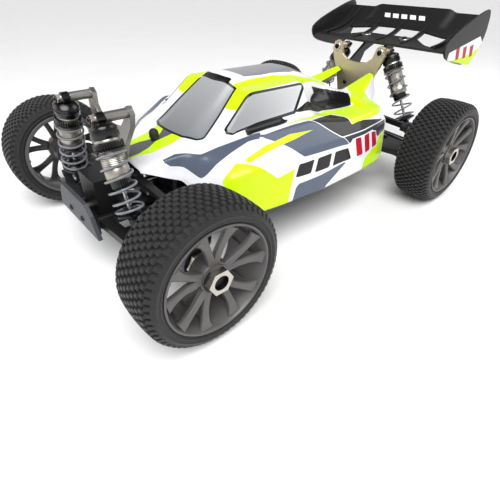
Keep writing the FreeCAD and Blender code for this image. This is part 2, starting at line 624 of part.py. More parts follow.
def radio_gear():
    """Steering servo, speed controller and receiver box."""
    servo = join([box((70, 92), (-56, -16), (PLATE_TOP, 76)), rod(5, (81, -24, 75), (81, -24, 81))])
    controller = join([box((10, 62), (-60, -22), (PLATE_TOP, 60)), box((14, 58), (-56, -26), (59, 72))])
    receiver = box((72, 98), (20, 58), (PLATE_TOP, 62))
    return [servo, controller, receiver.makeFillet(2, receiver.Edges)]


# ---- body shell ------------------------------------------------------------------------
# Eight rails run from the nose to the tower. Each is a list of (x, y, z) points, and the shell's
# section at any x joins the rails' points in this order, from the middle down to the lower edge.
RAILS = {
    "spine": [(151, 0, 88), (131, 0, 92), (112, 0, 95.5), (99, 0, 101.5), (47, 0, 140), (-34, 0, 139),
              (-104, 0, 112), (-167, 0, 112)],
    "stripe": [(151, 15, 87.8), (131, 16, 91.8), (112, 17, 95.3), (99, 18, 101), (47, 18, 139),
               (-34, 15, 138.4), (-62, 13, 128), (-104, 7, 111.8), (-167, 8, 112)],
    "pillar": [(151, 28, 86.6), (131, 33, 91), (112, 34, 95), (90.5, 34.3, 98.8),
               (47, 25, 132), (-21, 27, 134), (-62, 20, 124.4), (-97, 12, 111), (-121, 17, 105),
               (-167, 17, 115)],
    "window_top": [(151, 31, 86), (131, 36, 89.6), (112, 44, 94.4), (90.5, 50, 98.5),
                   (76, 51.5, 109), (47, 47.6, 133), (-21, 46, 131), (-40, 36, 112), (-62, 28, 103),
                   (-88, 32, 102), (-97, 40, 110.5), (-121, 45, 104), (-167, 24, 119)],
    "window_foot": [(151, 32, 85.7), (131, 38, 85.5), (118, 43, 86), (107, 55.3, 92.5),
                    (99, 56, 96), (71, 56, 105), (-21, 55, 107), (-40, 54, 101), (-88, 56, 100.5),
                    (-97, 60, 106), (-121, 62, 102), (-130, 46, 103), (-167, 30, 117.5)],
    "shoulder": [(151, 33, 85.4), (131, 39, 82), (118, 44, 81), (112.7, 60.6, 75),
                 (101, 70, 89), (62, 76, 108), (3.5, 80, 108), (-47, 84, 101.5), (-96, 83, 101),
                 (-121, 75.7, 98.7), (-130, 50, 98), (-167, 31, 113)],
    "flank": [(151, 33.7, 85.1), (131, 40, 79), (118, 46, 76), (114, 70, 62), (101, 84, 83),
              (84, 93, 88), (28, 98, 87), (-25, 98.7, 90.6), (-63, 97, 89), (-121, 85, 86),
              (-127, 82, 86), (-131, 56, 92), (-167, 33, 107)],
    "lower_edge": [(151, 34.4, 84.8), (131, 41, 76), (118, 47, 72), (114, 72, 49.5),
                   (104, 96, 51), (60, 102, 51), (5, 105.5, 51), (-58, 104, 51.5), (-100, 95, 47),
                   (-119, 89, 43), (-127, 86, 45), (-131, 60, 84), (-167, 36, 100)],
}
STATIONS = [151, 131, 118, 114, 112, 107, 104, 101, 99, 90.5, 84, 76, 71, 62, 47, 28, 3.5, -21, -34,
            -40, -47, -62, -88, -97, -104, -121, -127, -131, -167]


def rail_point(rail, x):
    """The (y, z) of a rail at x, straight between its points."""
    points = RAILS[rail]
    for (x0, y0, z0), (x1, y1, z1) in zip(points, points[1:]):
        if x1 <= x <= x0:
            t = (x0 - x) / (x0 - x1)
            return y0 + (y1 - y0) * t, z0 + (z1 - z0) * t
    raise ValueError("rail %s has no point at %s" % (rail, x))


def inset(points, wall):
    """The half section moved inwards by the wall, along the mean of its neighbouring normals."""
    moved = []
    for i, (y, z) in enumerate(points):
        normal = [0.0, 0.0]
        for j in (i - 1, i):
            if 0 <= j < len(points) - 1:
                dy, dz = points[j + 1][0] - points[j][0], points[j + 1][1] - points[j][1]
                n = math.hypot(dy, dz)
                normal[0] += dz / n
                normal[1] -= dy / n
        n = math.hypot(*normal)
        moved.append((y + wall * normal[0] / n, z + wall * normal[1] / n))
    moved[0] = (0.0, moved[0][1])
    return moved


def section(x):
    """The closed section of the shell at x: the outer line and back along the inner one."""
    half = [rail_point(rail, x) for rail in RAILS]
    inner = inset(half, SHELL)
    outside = [(-y, z) for y, z in reversed(half[1:])] + half
    inside = [(-y, z) for y, z in reversed(inner[1:])] + inner
    points = [V(x, y, z) for y, z in outside + inside[::-1]]
    return Part.makePolygon(points + points[:1])


def body_shell():
    """Vacuum-formed shell, open below, with its post hole and the cut-outs in its rear deck."""
    skins = []
    for x0, x1 in zip(STATIONS, STATIONS[1:]):
        skins.append(Part.makeLoft([section(x0), section(x1)], True, True))
    shell = join(skins)
    post = Part.makeCylinder(3.3, 40, V(118, 0, 80))
    rear = prism([(-108, -16, 80), (-108, 16, 80), (-122, 19, 80), (-170, 19, 80), (-170, -19, 80),
                  (-122, -19, 80)], V(0, 0, 60))
    return shell.cut(Part.makeCompound([post, rear]))


# ---- all nodes -------------------------------------------------------------------------
def make_corner(name, front, side):
    x = AXLE_X * front
    end = "f" if front > 0 else "r"
    arm = lower_arm(x, end)
    nodes = {
        "tyre": tyre(x), "rim": rim(x), "axle": axle(x), "lower_arm": arm,
        "driveshaft": driveshaft(x), "shock_body": shock_body(end), "shock_rod": shock_rod(end),
        "shock_spring": shock_spring(end),
        "upper_arm": upper_arm_front() if front > 0 else upper_link_rear(),
    }
    if front > 0:
        nodes["c_hub"] = c_hub()
        nodes["steering_knuckle"] = knuckle()
        nodes["tie_rod"] = tie_rod()
    else:
        nodes["rear_hub"] = rear_hub()
    for node, shape in nodes.items():
        save("%s_%s" % (node, name), place(shape, side))


def main():
    os.makedirs("parts", exist_ok=True)
    for name, (front, side) in CORNERS.items():
        make_corner(name, front, side)
    save("steering_link", steering_link())
    save("chassis_plate", chassis_plate())
    save("side_guards", *side_guards())
    save("front_bumper", front_bumper())
    save("gearbox_cases", *gearbox_cases())
    save("front_shock_tower", front_tower())
    save("rear_shock_tower", rear_tower())
    save("wing_mount", wing_mount())
    save("rear_wing", rear_wing())
    save("body_posts", *body_posts())
    save("centre_driveline", centre_driveline())
    save("motor", motor())
    save("motor_pinion", motor_pinion())
    save("battery_pack", battery_pack())
    save("radio_gear", *radio_gear())
    save("body_shell", body_shell())


main()
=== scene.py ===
"""One-eighth scale off-road buggy: the finished surfaces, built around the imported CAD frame.

Lengths are in millimetres, in the frame's axes: +X forward, +Y to the car's left, +Z up.
Paint outlines, screw places and the shell's rails are given from the middle of the wheelbase,
and CAR_X moves them into the frame.
"""

import json
import math
from contextlib import contextmanager

import bmesh
import bpy
import numpy as np
from bpy.props import FloatProperty, FloatVectorProperty, IntProperty, PointerProperty
from mathutils import Matrix, Vector

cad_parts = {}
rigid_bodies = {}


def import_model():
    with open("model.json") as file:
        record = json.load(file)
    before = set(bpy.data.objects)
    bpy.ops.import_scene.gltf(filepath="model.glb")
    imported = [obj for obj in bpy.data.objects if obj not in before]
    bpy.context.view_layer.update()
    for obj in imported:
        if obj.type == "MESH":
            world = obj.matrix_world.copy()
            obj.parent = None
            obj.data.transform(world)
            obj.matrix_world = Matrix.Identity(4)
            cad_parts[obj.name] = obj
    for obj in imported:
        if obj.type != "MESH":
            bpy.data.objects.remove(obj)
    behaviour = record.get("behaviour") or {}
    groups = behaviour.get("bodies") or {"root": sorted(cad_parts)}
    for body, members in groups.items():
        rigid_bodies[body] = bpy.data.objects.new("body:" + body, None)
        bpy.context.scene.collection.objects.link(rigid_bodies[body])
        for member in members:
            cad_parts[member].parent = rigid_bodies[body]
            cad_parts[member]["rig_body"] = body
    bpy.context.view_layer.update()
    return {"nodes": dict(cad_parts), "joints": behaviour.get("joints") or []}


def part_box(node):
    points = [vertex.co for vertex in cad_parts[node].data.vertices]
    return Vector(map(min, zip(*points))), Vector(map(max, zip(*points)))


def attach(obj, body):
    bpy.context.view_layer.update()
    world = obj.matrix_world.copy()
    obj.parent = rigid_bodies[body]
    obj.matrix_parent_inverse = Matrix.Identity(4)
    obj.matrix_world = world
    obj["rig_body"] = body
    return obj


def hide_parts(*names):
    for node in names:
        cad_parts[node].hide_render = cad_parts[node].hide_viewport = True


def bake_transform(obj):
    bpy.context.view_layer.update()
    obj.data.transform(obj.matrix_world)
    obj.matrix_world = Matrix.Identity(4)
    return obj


bl_info = {
    "name": "RC buggy",
    "version": (1, 0, 0),
    "blender": (4, 5, 0),
    "location": "3D View > Sidebar > Buggy",
    "description": "Builds the finished surfaces of a 1/8 scale off-road buggy around its CAD frame",
    "category": "Object",
}

MM = 0.001
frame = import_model()
CORNERS = ("fl", "fr", "rl", "rr")


def corners(node):
    """Lowest and highest corner of a CAD node, in millimetres."""
    return np.array([list(corner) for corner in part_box(node)]) / MM


def middle(node):
    return corners(node).mean(0)


CAR_X = (middle("tyre_fl")[0] + middle("tyre_rl")[0]) / 2


def from_hex(code):
    """The linear colour of an sRGB hex code."""
    c = np.array([int(code[i:i + 2], 16) for i in (0, 2, 4)]) / 255
    return [*np.where(c <= 0.04045, c / 12.92, ((c + 0.055) / 1.055) ** 2.4).tolist(), 1.0]


# ---- settings --------------------------------------------------------------------------
def length(name, millimetres, description):
    """A length, given in millimetres and kept in metres, as Blender's lengths are."""
    return FloatProperty(name=name, default=millimetres * MM, description=description,
                         subtype="DISTANCE", precision=5)


def colour(name, code, description):
    """A colour, given as an sRGB hex code and kept linear."""
    return FloatVectorProperty(name=name, default=from_hex(code), description=description,
                               size=4, min=0, max=1, subtype="COLOR")


class BuggyPaint(bpy.types.PropertyGroup):
    """Colours of the body shell."""
    white: colour("White", "EDEDF2", "Ground colour of the shell")
    yellow: colour("Yellow", "CDF500", "Fluorescent panels")
    slate: colour("Slate", "525B6B", "Fender and side pod panels")
    graphite: colour("Graphite", "34363F", "Hood stripe and dark side panels")
    hood: colour("Hood", "58585C", "Hood stripe")
    roof: colour("Roof", "85858D", "Roof panel")
    # Black is the real paint of the rear panel. In the openings it is painted shade, standing in for the
    # dark inside that shows through them.
    black: colour("Black", "070708", "Openings and rear panel")
    red: colour("Red", "B4152C", "Slashes on the side pod")
    glass_dark: colour("Window, dark end", "7A7C80", "Front end of the windows")
    glass_light: colour("Window, light end", "C9CACC", "Rear end of the windows")


class BuggyShell(bpy.types.PropertyGroup):
    """Sizes of the body shell."""
    grid: length("Grid", 1.7, "Distance between the surface's lines")
    wall: length("Wall", 1.3, "Thickness of the polycarbonate")
    softening: IntProperty(name="Softening", default=4, description="How often the folds are averaged")
    window_depth: length("Window depth", 0.7, "How far the windows lie behind the paint")
    # The pressed-in openings carry black paint as painted shade for the dark inside them.
    vent_depth: length("Vent depth", 1.6, "How far the black openings lie back")


class BuggyTyre(bpy.types.PropertyGroup):
    """Sizes of the tread."""
    rows: IntProperty(name="Rows", default=10, description="Rows of knobs across the tread")
    around: IntProperty(name="Knobs around", default=62, description="Knobs in one row")
    knob: length("Knob", 3.35, "Side of a knob")
    knob_height: length("Knob height", 2.3, "Height of a knob")


class BuggyWheel(bpy.types.PropertyGroup):
    """Sizes of the dish wheels."""
    pairs: IntProperty(name="Spoke pairs", default=5, description="Pairs of spokes in a wheel")
    lean: FloatProperty(name="Lean", default=math.radians(17.5), subtype="ANGLE",
                        description="Angle of a spoke's outer end from the middle of its pair")


class BuggyShock(bpy.types.PropertyGroup):
    """Sizes of the shocks."""
    coil: length("Coil", 10.6, "Radius of the spring from its axis to the wire's middle")
    turns: FloatProperty(name="Turns", default=6.5,
                         description="Turns of a spring, closed ends included")
    wire: length("Wire", 0.95, "Radius of the spring wire")
    thread: length("Thread", 1.2, "Pitch of the thread under the collar")


class BuggyStage(bpy.types.PropertyGroup):
    """Camera and light."""
    lens: FloatProperty(name="Lens", default=26.7, description="Focal length, in mm", unit="CAMERA")
    key: FloatProperty(name="Key light", default=5.0, unit="POWER",
                       description="Power of the large soft light")
    sun: FloatProperty(name="Even light", default=2.3,
                       description="Strength of the wide light from above")
    sky: FloatProperty(name="Walls", default=0.8, description="Strength of the light from the sides")
    ceiling: FloatProperty(name="Ceiling", default=0.1,
                           description="Strength of the light from overhead")


# ---- surfaces --------------------------------------------------------------------------
def sheet(points, wrap_u=False, wrap_v=False):
    """Quads over a grid points[u, v]; a wrapped direction joins its last line to its first."""
    index = np.arange(points.shape[0] * points.shape[1]).reshape(points.shape[:2])
    if wrap_u:
        index = np.vstack([index, index[:1]])
    if wrap_v:
        index = np.hstack([index, index[:, :1]])
    quads = np.stack([index[:-1, :-1], index[1:, :-1], index[1:, 1:], index[:-1, 1:]], -1)
    return points.reshape(-1, 3), quads.reshape(-1, 4)


def across(direction):
    """Two unit vectors square to a direction and to each other."""
    d = np.asarray(direction, float) / np.linalg.norm(direction)
    first = np.cross(d, (0, 0, 1) if abs(d[2]) < 0.9 else (0, 1, 0))
    first /= np.linalg.norm(first)
    return d, first, np.cross(d, first)


def turned(profile, centre, direction, steps=48, scallops=0, bite=0.0, closed=False):
    """A profile of (radius, distance along the axis) carried round an axis.

    Point = centre + along * axis + radius * (cos a * first + sin a * second). With scallops, the
    radius dips by bite times the square of the cosine of that many times the angle, where the
    cosine is positive.
    """
    d, first, second = across(direction)
    profile = np.asarray(profile, float)
    a = np.linspace(0, 2 * math.pi, steps, endpoint=False)
    dip = 1 - bite * np.clip(np.cos(scallops * a), 0, None) ** 2 if scallops else np.ones(steps)
    ring = np.cos(a)[:, None] * first + np.sin(a)[:, None] * second
    radius = profile[:, 0, None] * dip
    points = np.asarray(centre) + profile[:, 1, None, None] * d + radius[..., None] * ring
    return sheet(points, wrap_u=closed, wrap_v=True)


def swept(path, side, up, section, width, depth):
    """A closed section of (side, up) shares carried along a path, scaled by width and depth.

    The two ends are drawn in to the path's end points, which closes them.
    """
    section = np.asarray(section, float)
    offset = (section[None, :, :1] * np.reshape(width, (-1, 1, 1)) * side[:, None]
              + section[None, :, 1:] * np.reshape(depth, (-1, 1, 1)) * up[:, None])
    points = path[:, None] + offset
    ends = [np.repeat(path[i][None, None], len(section), 1) for i in (0, -1)]
    return sheet(np.concatenate([ends[0], points, ends[1]]), wrap_v=True)


def prism(outline, offset):
    """A flat outline carried along an offset, closed by its two faces."""
    outline = np.asarray(outline, float)
    n = len(outline)
    faces = [[i, (i + 1) % n, (i + 1) % n + n, i + n] for i in range(n)]
    faces += [list(range(n))[::-1], list(range(n, 2 * n))]
    return np.concatenate([outline, outline + np.asarray(offset, float)]), faces


def rounded(outline, passes=2):
    """An outline with its corners cut at a quarter of each side, again and again."""
    p = np.asarray(outline, float)
    for _ in range(passes):
        ahead = np.roll(p, -1, axis=0)
        p = np.stack([0.75 * p + 0.25 * ahead, 0.25 * p + 0.75 * ahead], 1).reshape(-1, p.shape[1])
    return p


def squircle(count=12, power=0.55):
    """A section between an ellipse and a box, in shares of half its width and depth."""
    a = (np.arange(count) + 0.5) * 2 * math.pi / count
    c, s = np.cos(a), np.sin(a)
    return np.stack([np.sign(c) * abs(c) ** power, np.sign(s) * abs(s) ** power], 1)


def outline_distance(outline, points):
    """Distance of points from a closed outline, negative inside.

    It is the least distance to the outline's edges, and its sign is from how many edges a ray crosses.
    """
    a = np.asarray(outline, float)
    d = np.roll(a, -1, axis=0) - a
    p = points[:, None]
    share = np.clip(((p - a) * d).sum(-1) / (d * d).sum(-1), 0, 1)
    gap = np.linalg.norm(p - a - share[..., None] * d, axis=-1).min(1)
    rise = np.where(d[:, 1] == 0, 1e-9, d[:, 1])
    spans = (a[:, 1] > p[..., 1]) != ((a + d)[:, 1] > p[..., 1])
    hits = spans & (p[..., 0] < d[:, 0] * (p[..., 1] - a[:, 1]) / rise + a[:, 0])
    return np.where(hits.sum(1) % 2 == 1, -gap, gap)


def ramp(value, low, high):
    """0 below low, 1 above high, and a smooth step between them."""
    t = np.clip((value - low) / (high - low), 0, 1)
    return t * t * (3 - 2 * t)


# ---- pieces ----------------------------------------------------------------------------
SAME_POINT, FLAT_EDGE = 2e-6, 1e-6       # metres: points closer than this merge, shorter edges go


def add_object(name, data):
    """A new object in the scene, at the origin."""
    made = bpy.data.objects.new(name, data)
    bpy.context.scene.collection.objects.link(made)
    return made


@contextmanager
def edited(mesh):
    """A mesh open to bmesh's tools, written back when the block ends."""
    work = bmesh.new()
    work.from_mesh(mesh)
    yield work
    work.to_mesh(mesh)
    work.free()


def shifted(faces, start):
    """Faces with their point numbers counted on from start: an array of quads, or a few polygons."""
    if isinstance(faces, np.ndarray):
        return (faces + start).tolist()
    return [[i + start for i in face] for face in faces]


def make_piece(name, parts, merge=True, crease=35.0, bevel=0.0):
    """One mesh object in metres from (points, faces, material name) parts in millimetres."""
    mesh = bpy.data.meshes.new(name)
    faces, slots, used, start = [], [], [], 0
    for points, part_faces, material in parts:
        if material not in used:
            used.append(material)
        faces += shifted(part_faces, start)
        slots += [used.index(material)] * len(part_faces)
        start += len(points)
    mesh.from_pydata((np.concatenate([p for p, _, _ in parts]) * MM).tolist(), [], faces)
    mesh.polygons.foreach_set("material_index", slots)
    for material in used:
        mesh.materials.append(finish(material))
    if merge:
        tidy_mesh(mesh)
    finish_edges(mesh, crease)
    made = add_object(name, mesh)
    if bevel:
        soften(made, bevel)
    return made


def tidy_mesh(mesh):
    """Merges coincident points, drops what that flattens, and turns every closed surface outwards."""
    with edited(mesh) as work:
        bmesh.ops.remove_doubles(work, verts=work.verts, dist=SAME_POINT)
        bmesh.ops.dissolve_degenerate(work, dist=FLAT_EDGE, edges=work.edges)
        bmesh.ops.recalc_face_normals(work, faces=work.faces)


def finish_edges(mesh, crease):
    mesh.shade_smooth()
    mesh.set_sharp_from_angle(angle=math.radians(crease))


def soften(made, width):
    """A small rounded edge, as moulding and tumbling leave it."""
    edge = made.modifiers.new("edge", "BEVEL")
    edge.width = width * MM
    edge.segments = 2
    edge.limit_method = "ANGLE"
    edge.angle_limit = math.radians(32)
    edge.harden_normals = True


def settle(made, body, slot, *nodes):
    """Rides the piece on its body and hides the CAD nodes that it stands for."""
    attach(made, body)
    if nodes:
        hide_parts(*nodes)
    return made


def cad_copy(name, node, material, width, body, slot):
    """A copy of a CAD node with merged points, flat faces joined and rounded edges."""
    mesh = frame["nodes"][node].data.copy()
    mesh.name = name
    mesh.materials.clear()
    mesh.materials.append(finish(material))
    with edited(mesh) as work:
        bmesh.ops.remove_doubles(work, verts=work.verts, dist=SAME_POINT)
        bmesh.ops.dissolve_limit(work, angle_limit=math.radians(0.6), verts=work.verts, edges=work.edges)
    mesh.polygons.foreach_set("material_index", [0] * len(mesh.polygons))
    finish_edges(mesh, 30)
    made = add_object(name, mesh)
    soften(made, width)
    return settle(made, body, slot, node)


# ---- materials -------------------------------------------------------------------------
def set_inputs(tree, node, inputs):
    """Fills a node's inputs with values, or with links where the value is another node's output."""
    for key, value in inputs.items():
        if isinstance(value, bpy.types.NodeSocket):
            tree.links.new(value, node.inputs[key])
        else:
            node.inputs[key].default_value = value


def add(tree, kind, inputs=None, **settings):
    """Adds a node with its settings, and with its inputs filled."""
    node = tree.nodes.new(kind)
    for key, value in settings.items():
        setattr(node, key, value)
    set_inputs(tree, node, inputs or {})
    return node


def start_material(name, sockets):
    """A material with its shader, whose constant sockets are set directly."""
    made = bpy.data.materials.new(name)
    made.use_nodes = True
    shader = made.node_tree.nodes["Principled BSDF"]
    set_inputs(made.node_tree, shader, sockets)
    return made, made.node_tree, shader


def grained(name, dark, light, gloss, grain, depth, sockets, stretch=(1, 1, 1)):
    """A surface with one grain size in mm: two close colours, two roughnesses and a bump in mm.

    The roughness and the bump follow the grain. The colour varies over 24 grains, because the grain
    itself is too fine to show.
    """
    made, tree, shader = start_material(name, sockets)
    place = add(tree, "ShaderNodeTexCoord").outputs["Object"]
    place = add(tree, "ShaderNodeMapping", {"Vector": place, "Scale": stretch}).outputs[0]
    fine = add(tree, "ShaderNodeTexNoise", {
        "Vector": place, "Scale": 1 / (grain * MM), "Detail": 3.0}).outputs[0]
    broad = add(tree, "ShaderNodeTexNoise", {"Vector": place, "Scale": 1 / (24 * grain * MM)}).outputs[0]
    tone = add(tree, "ShaderNodeMix", {0: broad, 6: from_hex(dark), 7: from_hex(light)},
               data_type="RGBA")
    rough = add(tree, "ShaderNodeMapRange", {"Value": fine, "From Min": 0.3, "From Max": 0.7,
                                             "To Min": gloss[0], "To Max": gloss[1]})
    bump = add(tree, "ShaderNodeBump", {"Height": fine, "Distance": depth * MM, "Strength": 0.6})
    set_inputs(tree, shader, {"Base Color": tone.outputs[2], "Roughness": rough.outputs[0],
                              "Normal": bump.outputs[0]})
    return made


def black_nylon():
    """Glass-filled nylon, moulded: near black, satin, with a faint cloudy grain from the mould."""
    return grained("black_nylon", "0B0B0C", "141416", (0.36, 0.5), 0.35, 0.03, {"IOR": 1.53})


def wheel_nylon():
    """Dyed nylon, moulded against a polished tool: dark warm grey with a soft satin shine."""
    return grained("wheel_nylon", "4A4848", "5B5958", (0.34, 0.44), 0.4, 0.02, {"IOR": 1.53})


def grey_nylon():
    """Glass-filled nylon in dark grey, with a matt moulded skin."""
    return grained("grey_nylon", "35363B", "45464C", (0.45, 0.6), 0.4, 0.03, {"IOR": 1.53})


def tread_rubber():
    """Soft tyre compound: deep black, dull, with a fine tooth that scatters light at the edges."""
    return grained("tread_rubber", "0D0D0E", "151516", (0.66, 0.82), 0.5, 0.05,
                   {"IOR": 1.52, "Sheen Weight": 0.12, "Sheen Roughness": 0.5})


def hard_aluminium():
    """Plate aluminium, hard anodised: even titanium grey with fine milling lines along the plate."""
    return grained("hard_anodised_aluminium", "8D8A86", "A5A29D", (0.3, 0.42), 0.5, 0.012,
                   {"Metallic": 0.9}, (1, 0.08, 1))


def gold_aluminium():
    """Plate aluminium, pale champagne anodised: warm grey gold with fine milling lines."""
    return grained("champagne_anodised_aluminium", "B7A98C", "CDBFA2", (0.32, 0.44), 0.5, 0.012,
                   {"Metallic": 0.85}, (1, 0.08, 1))


def turned_aluminium():
    """Aluminium, turned and hard coated: silver grey with a soft streak round the body."""
    return grained("turned_aluminium", "A8A39B", "B9B4AB", (0.3, 0.36), 0.4, 0.003, {"Metallic": 0.95})


def bright_aluminium():
    """Aluminium, turned and clear anodised: near white, with crisp soft highlights."""
    return grained("bright_aluminium", "BDB8AE", "CFCAC1", (0.24, 0.34), 0.4, 0.01, {"Metallic": 1.0})


def black_aluminium():
    """Aluminium, turned and black anodised: deep black with a clear gloss on its edges."""
    return grained("black_anodised_aluminium", "060607", "0D0D0F", (0.2, 0.3), 0.3, 0.01,
                   {"Metallic": 0.35, "Coat Weight": 0.4, "Coat Roughness": 0.15})


def chassis_aluminium():
    """Sheet aluminium, bead blasted and anodised dark grey: dull, with a fine sparkle."""
    return grained("chassis_aluminium", "4A4B50", "5A5B60", (0.42, 0.55), 0.3, 0.02, {"Metallic": 0.85})


def bright_steel():
    """Ground and polished steel: cold grey and mirror like."""
    return grained("bright_steel", "A9ABAE", "BDBFC2", (0.16, 0.26), 0.3, 0.005, {"Metallic": 1.0})


def black_screw():
    """Alloy steel with black oxide: dark, slightly oily shine."""
    return grained("black_oxide_steel", "151517", "232326", (0.28, 0.4), 0.3, 0.01, {"Metallic": 0.7})


def spring_steel():
    """Spring wire with a graphite powder coat: smooth, satin, with a little orange peel."""
    return grained("powder_coated_spring", "6C6E73", "808287", (0.28, 0.38), 0.8, 0.02,
                   {"IOR": 1.5, "Coat Weight": 0.5, "Coat Roughness": 0.2})


def soft_rubber():
    """Moulded soft rubber: black and matt."""
    return grained("soft_rubber", "121214", "1C1C1F", (0.6, 0.75), 0.6, 0.03, {"IOR": 1.52})


def case_plastic():
    """Moulded polycarbonate case, mid grey with a light texture."""
    return grained("case_plastic", "2A2C33", "3A3D46", (0.35, 0.5), 0.5, 0.03, {"IOR": 1.58})


def vinyl(name, dark, light):
    """Printed vinyl: an even colour under a thin satin film, with a trace of the print's mottle."""
    return grained(name, dark, light, (0.3, 0.38), 0.6, 0.006, {"IOR": 1.46})


def coat(tree, under, mask, top, edge=0.0, border=None):
    """Lays a colour over another inside a painted outline, with a border of edge mm round it."""
    distance = add(tree, "ShaderNodeAttribute", attribute_name=mask).outputs["Fac"]
    layers = ([(edge, border)] if edge else []) + [(0.0, top)]
    for line, tint in layers:
        share = add(tree, "ShaderNodeMapRange", {"Value": distance, "From Min": line + 0.12,
                                                 "From Max": line - 0.12, "To Min": 0.0, "To Max": 1.0})
        under = add(tree, "ShaderNodeMix", {0: share.outputs[0], 6: under, 7: tint},
                    data_type="RGBA").outputs[2]
    return under


def painted_shell():
    """Vacuum-formed polycarbonate, painted on its inner side: colours under 1 mm of clear gloss, with
    black painted shade in the openings.
    """
    paint = bpy.context.scene.buggy_paint
    made, tree, shader = start_material("painted_polycarbonate", {
        "IOR": 1.5, "Specular IOR Level": 0.3,
        "Coat Weight": 0.3, "Coat Roughness": 0.05, "Coat IOR": 1.5})
    place = add(tree, "ShaderNodeTexCoord").outputs["Object"]
    mist = add(tree, "ShaderNodeTexNoise", {
        "Vector": place, "Scale": 1 / (9 * MM), "Detail": 2.0}).outputs[0]
    along = add(tree, "ShaderNodeSeparateXYZ", {"Vector": place}).outputs["X"]
    fade = add(tree, "ShaderNodeMapRange", {
        "Value": along, "From Min": (CAR_X + 100) * MM, "From Max": (CAR_X - 20) * MM}).outputs[0]
    glass = add(tree, "ShaderNodeMix", {0: fade, 6: paint.glass_dark, 7: paint.glass_light},
                data_type="RGBA").outputs[2]
    tint = add(tree, "ShaderNodeMix", {0: mist, 6: paint.white, 7: from_hex("E2E2E8")},
               data_type="RGBA").outputs[2]
    for mask, top, edge, border in (
            ("slate", paint.slate, 1.1, paint.white), ("graphite", paint.graphite, 0, None),
            ("yellow", paint.yellow, 0, None), ("hood", paint.hood, 0, None),
            ("roof", paint.roof, 1.8, paint.white), ("panel", paint.black, 1.0, paint.white),
            # In the openings, black is painted shade for the dark inside that shows through them.
            ("deck", paint.yellow, 0, None), ("open", paint.black, 0.6, paint.black),
            ("bars", paint.black, 1.2, paint.white), ("slashes", paint.red, 1.2, paint.white),
            ("glass", glass, 2.2, paint.black)):
        tint = coat(tree, tint, mask, top, edge, border)
    rough = add(tree, "ShaderNodeMapRange", {"Value": mist, "To Min": 0.3, "To Max": 0.4})
    bump = add(tree, "ShaderNodeBump", {"Height": mist, "Distance": 0.02 * MM, "Strength": 0.4})
    set_inputs(tree, shader, {"Base Color": tint, "Roughness": rough.outputs[0],
                              "Normal": bump.outputs[0]})
    return made


def studio_floor():
    """Seamless paper: white, dull, with a faint tooth."""
    return grained("seamless_paper", "F2F2F2", "F8F8F8", (0.8, 0.9), 4.0, 0.05, {"IOR": 1.45})


FINISHES = {
    "nylon": black_nylon, "wheel": wheel_nylon, "grey": grey_nylon, "tread": tread_rubber,
    "hard": hard_aluminium, "gold": gold_aluminium, "turned": turned_aluminium,
    "bright": bright_aluminium, "black": black_aluminium, "chassis": chassis_aluminium,
    "steel": bright_steel, "screw": black_screw, "spring": spring_steel, "rubber": soft_rubber,
    "case": case_plastic, "paint": painted_shell, "floor": studio_floor,
    "white_vinyl": lambda: vinyl("white_vinyl", "E6E6EA", "EDEDF0"),
    "yellow_vinyl": lambda: vinyl("yellow_vinyl", "C6EE00", "CDF500"),
    "red_vinyl": lambda: vinyl("red_vinyl", "A91328", "B4152C"),
}
MADE = {}


def finish(name):
    """The material of that name, made the first time that it is asked for."""
    if name not in MADE:
        MADE[name] = FINISHES[name]()
    return MADE[name]


# ---- body shell ------------------------------------------------------------------------
# Eight rails run from the nose to the tower, as (x, y, z). The shell's section at any x joins them
# from the middle down to the lower edge, and RAIL_AT is each rail's place in the unrolled section.
RAILS = (
    [(151, 0, 88), (131, 0, 92), (112, 0, 95.5), (99, 0, 101.5), (47, 0, 140), (-34, 0, 139),
     (-104, 0, 112), (-167, 0, 112)],
    [(151, 15, 87.8), (131, 16, 91.8), (112, 17, 95.3), (99, 18, 101), (47, 18, 139),
     (-34, 15, 138.4), (-62, 13, 128), (-104, 7, 111.8), (-167, 8, 112)],
    [(151, 28, 86.6), (131, 33, 91), (112, 34, 95), (90.5, 34.3, 98.8),
     (47, 25, 132), (-21, 27, 134), (-62, 20, 124.4), (-97, 12, 111), (-121, 17, 105),
     (-167, 17, 115)],
    [(151, 31, 86), (131, 36, 89.6), (112, 44, 94.4), (90.5, 50, 98.5),
     (76, 51.5, 109), (47, 47.6, 133), (-21, 46, 131), (-40, 36, 112), (-62, 28, 103),
     (-88, 32, 102), (-97, 40, 110.5), (-121, 45, 104), (-167, 24, 119)],
    [(151, 32, 85.7), (131, 38, 85.5), (118, 43, 86), (107, 55.3, 92.5),
     (99, 56, 96), (71, 56, 105), (-21, 55, 107), (-40, 54, 101), (-88, 56, 100.5),
     (-97, 60, 106), (-121, 62, 102), (-130, 46, 103), (-167, 30, 117.5)],
    [(151, 33, 85.4), (131, 39, 82), (118, 44, 81), (112.7, 60.6, 75),
     (101, 70, 89), (62, 76, 108), (3.5, 80, 108), (-47, 84, 101.5), (-96, 83, 101),
     (-121, 75.7, 98.7), (-130, 50, 98), (-167, 31, 113)],
    [(151, 33.7, 85.1), (131, 40, 79), (118, 46, 76), (114, 70, 62), (101, 84, 83),
     (84, 93, 88), (28, 98, 87), (-25, 98.7, 90.6), (-63, 97, 89), (-121, 85, 86),
     (-127, 82, 86), (-131, 56, 92), (-167, 33, 107)],
    [(151, 34.4, 84.8), (131, 41, 76), (118, 47, 72), (114, 72, 49.5),
     (104, 96, 51), (60, 102, 51), (5, 105.5, 51), (-58, 104, 51.5), (-100, 95, 47),
     (-119, 89, 43), (-127, 86, 45), (-131, 60, 84), (-167, 36, 100)],
)
RAIL_AT = np.array([0, 15, 27, 45, 60, 82, 100, 140], float)
NOSE, TAIL, CUT_FRONT = 151.0, -167.0, -108.0
CUT_HALF = ((-167, 19), (-122, 19), (-108, 16))   # half width of the rear cut-out at x

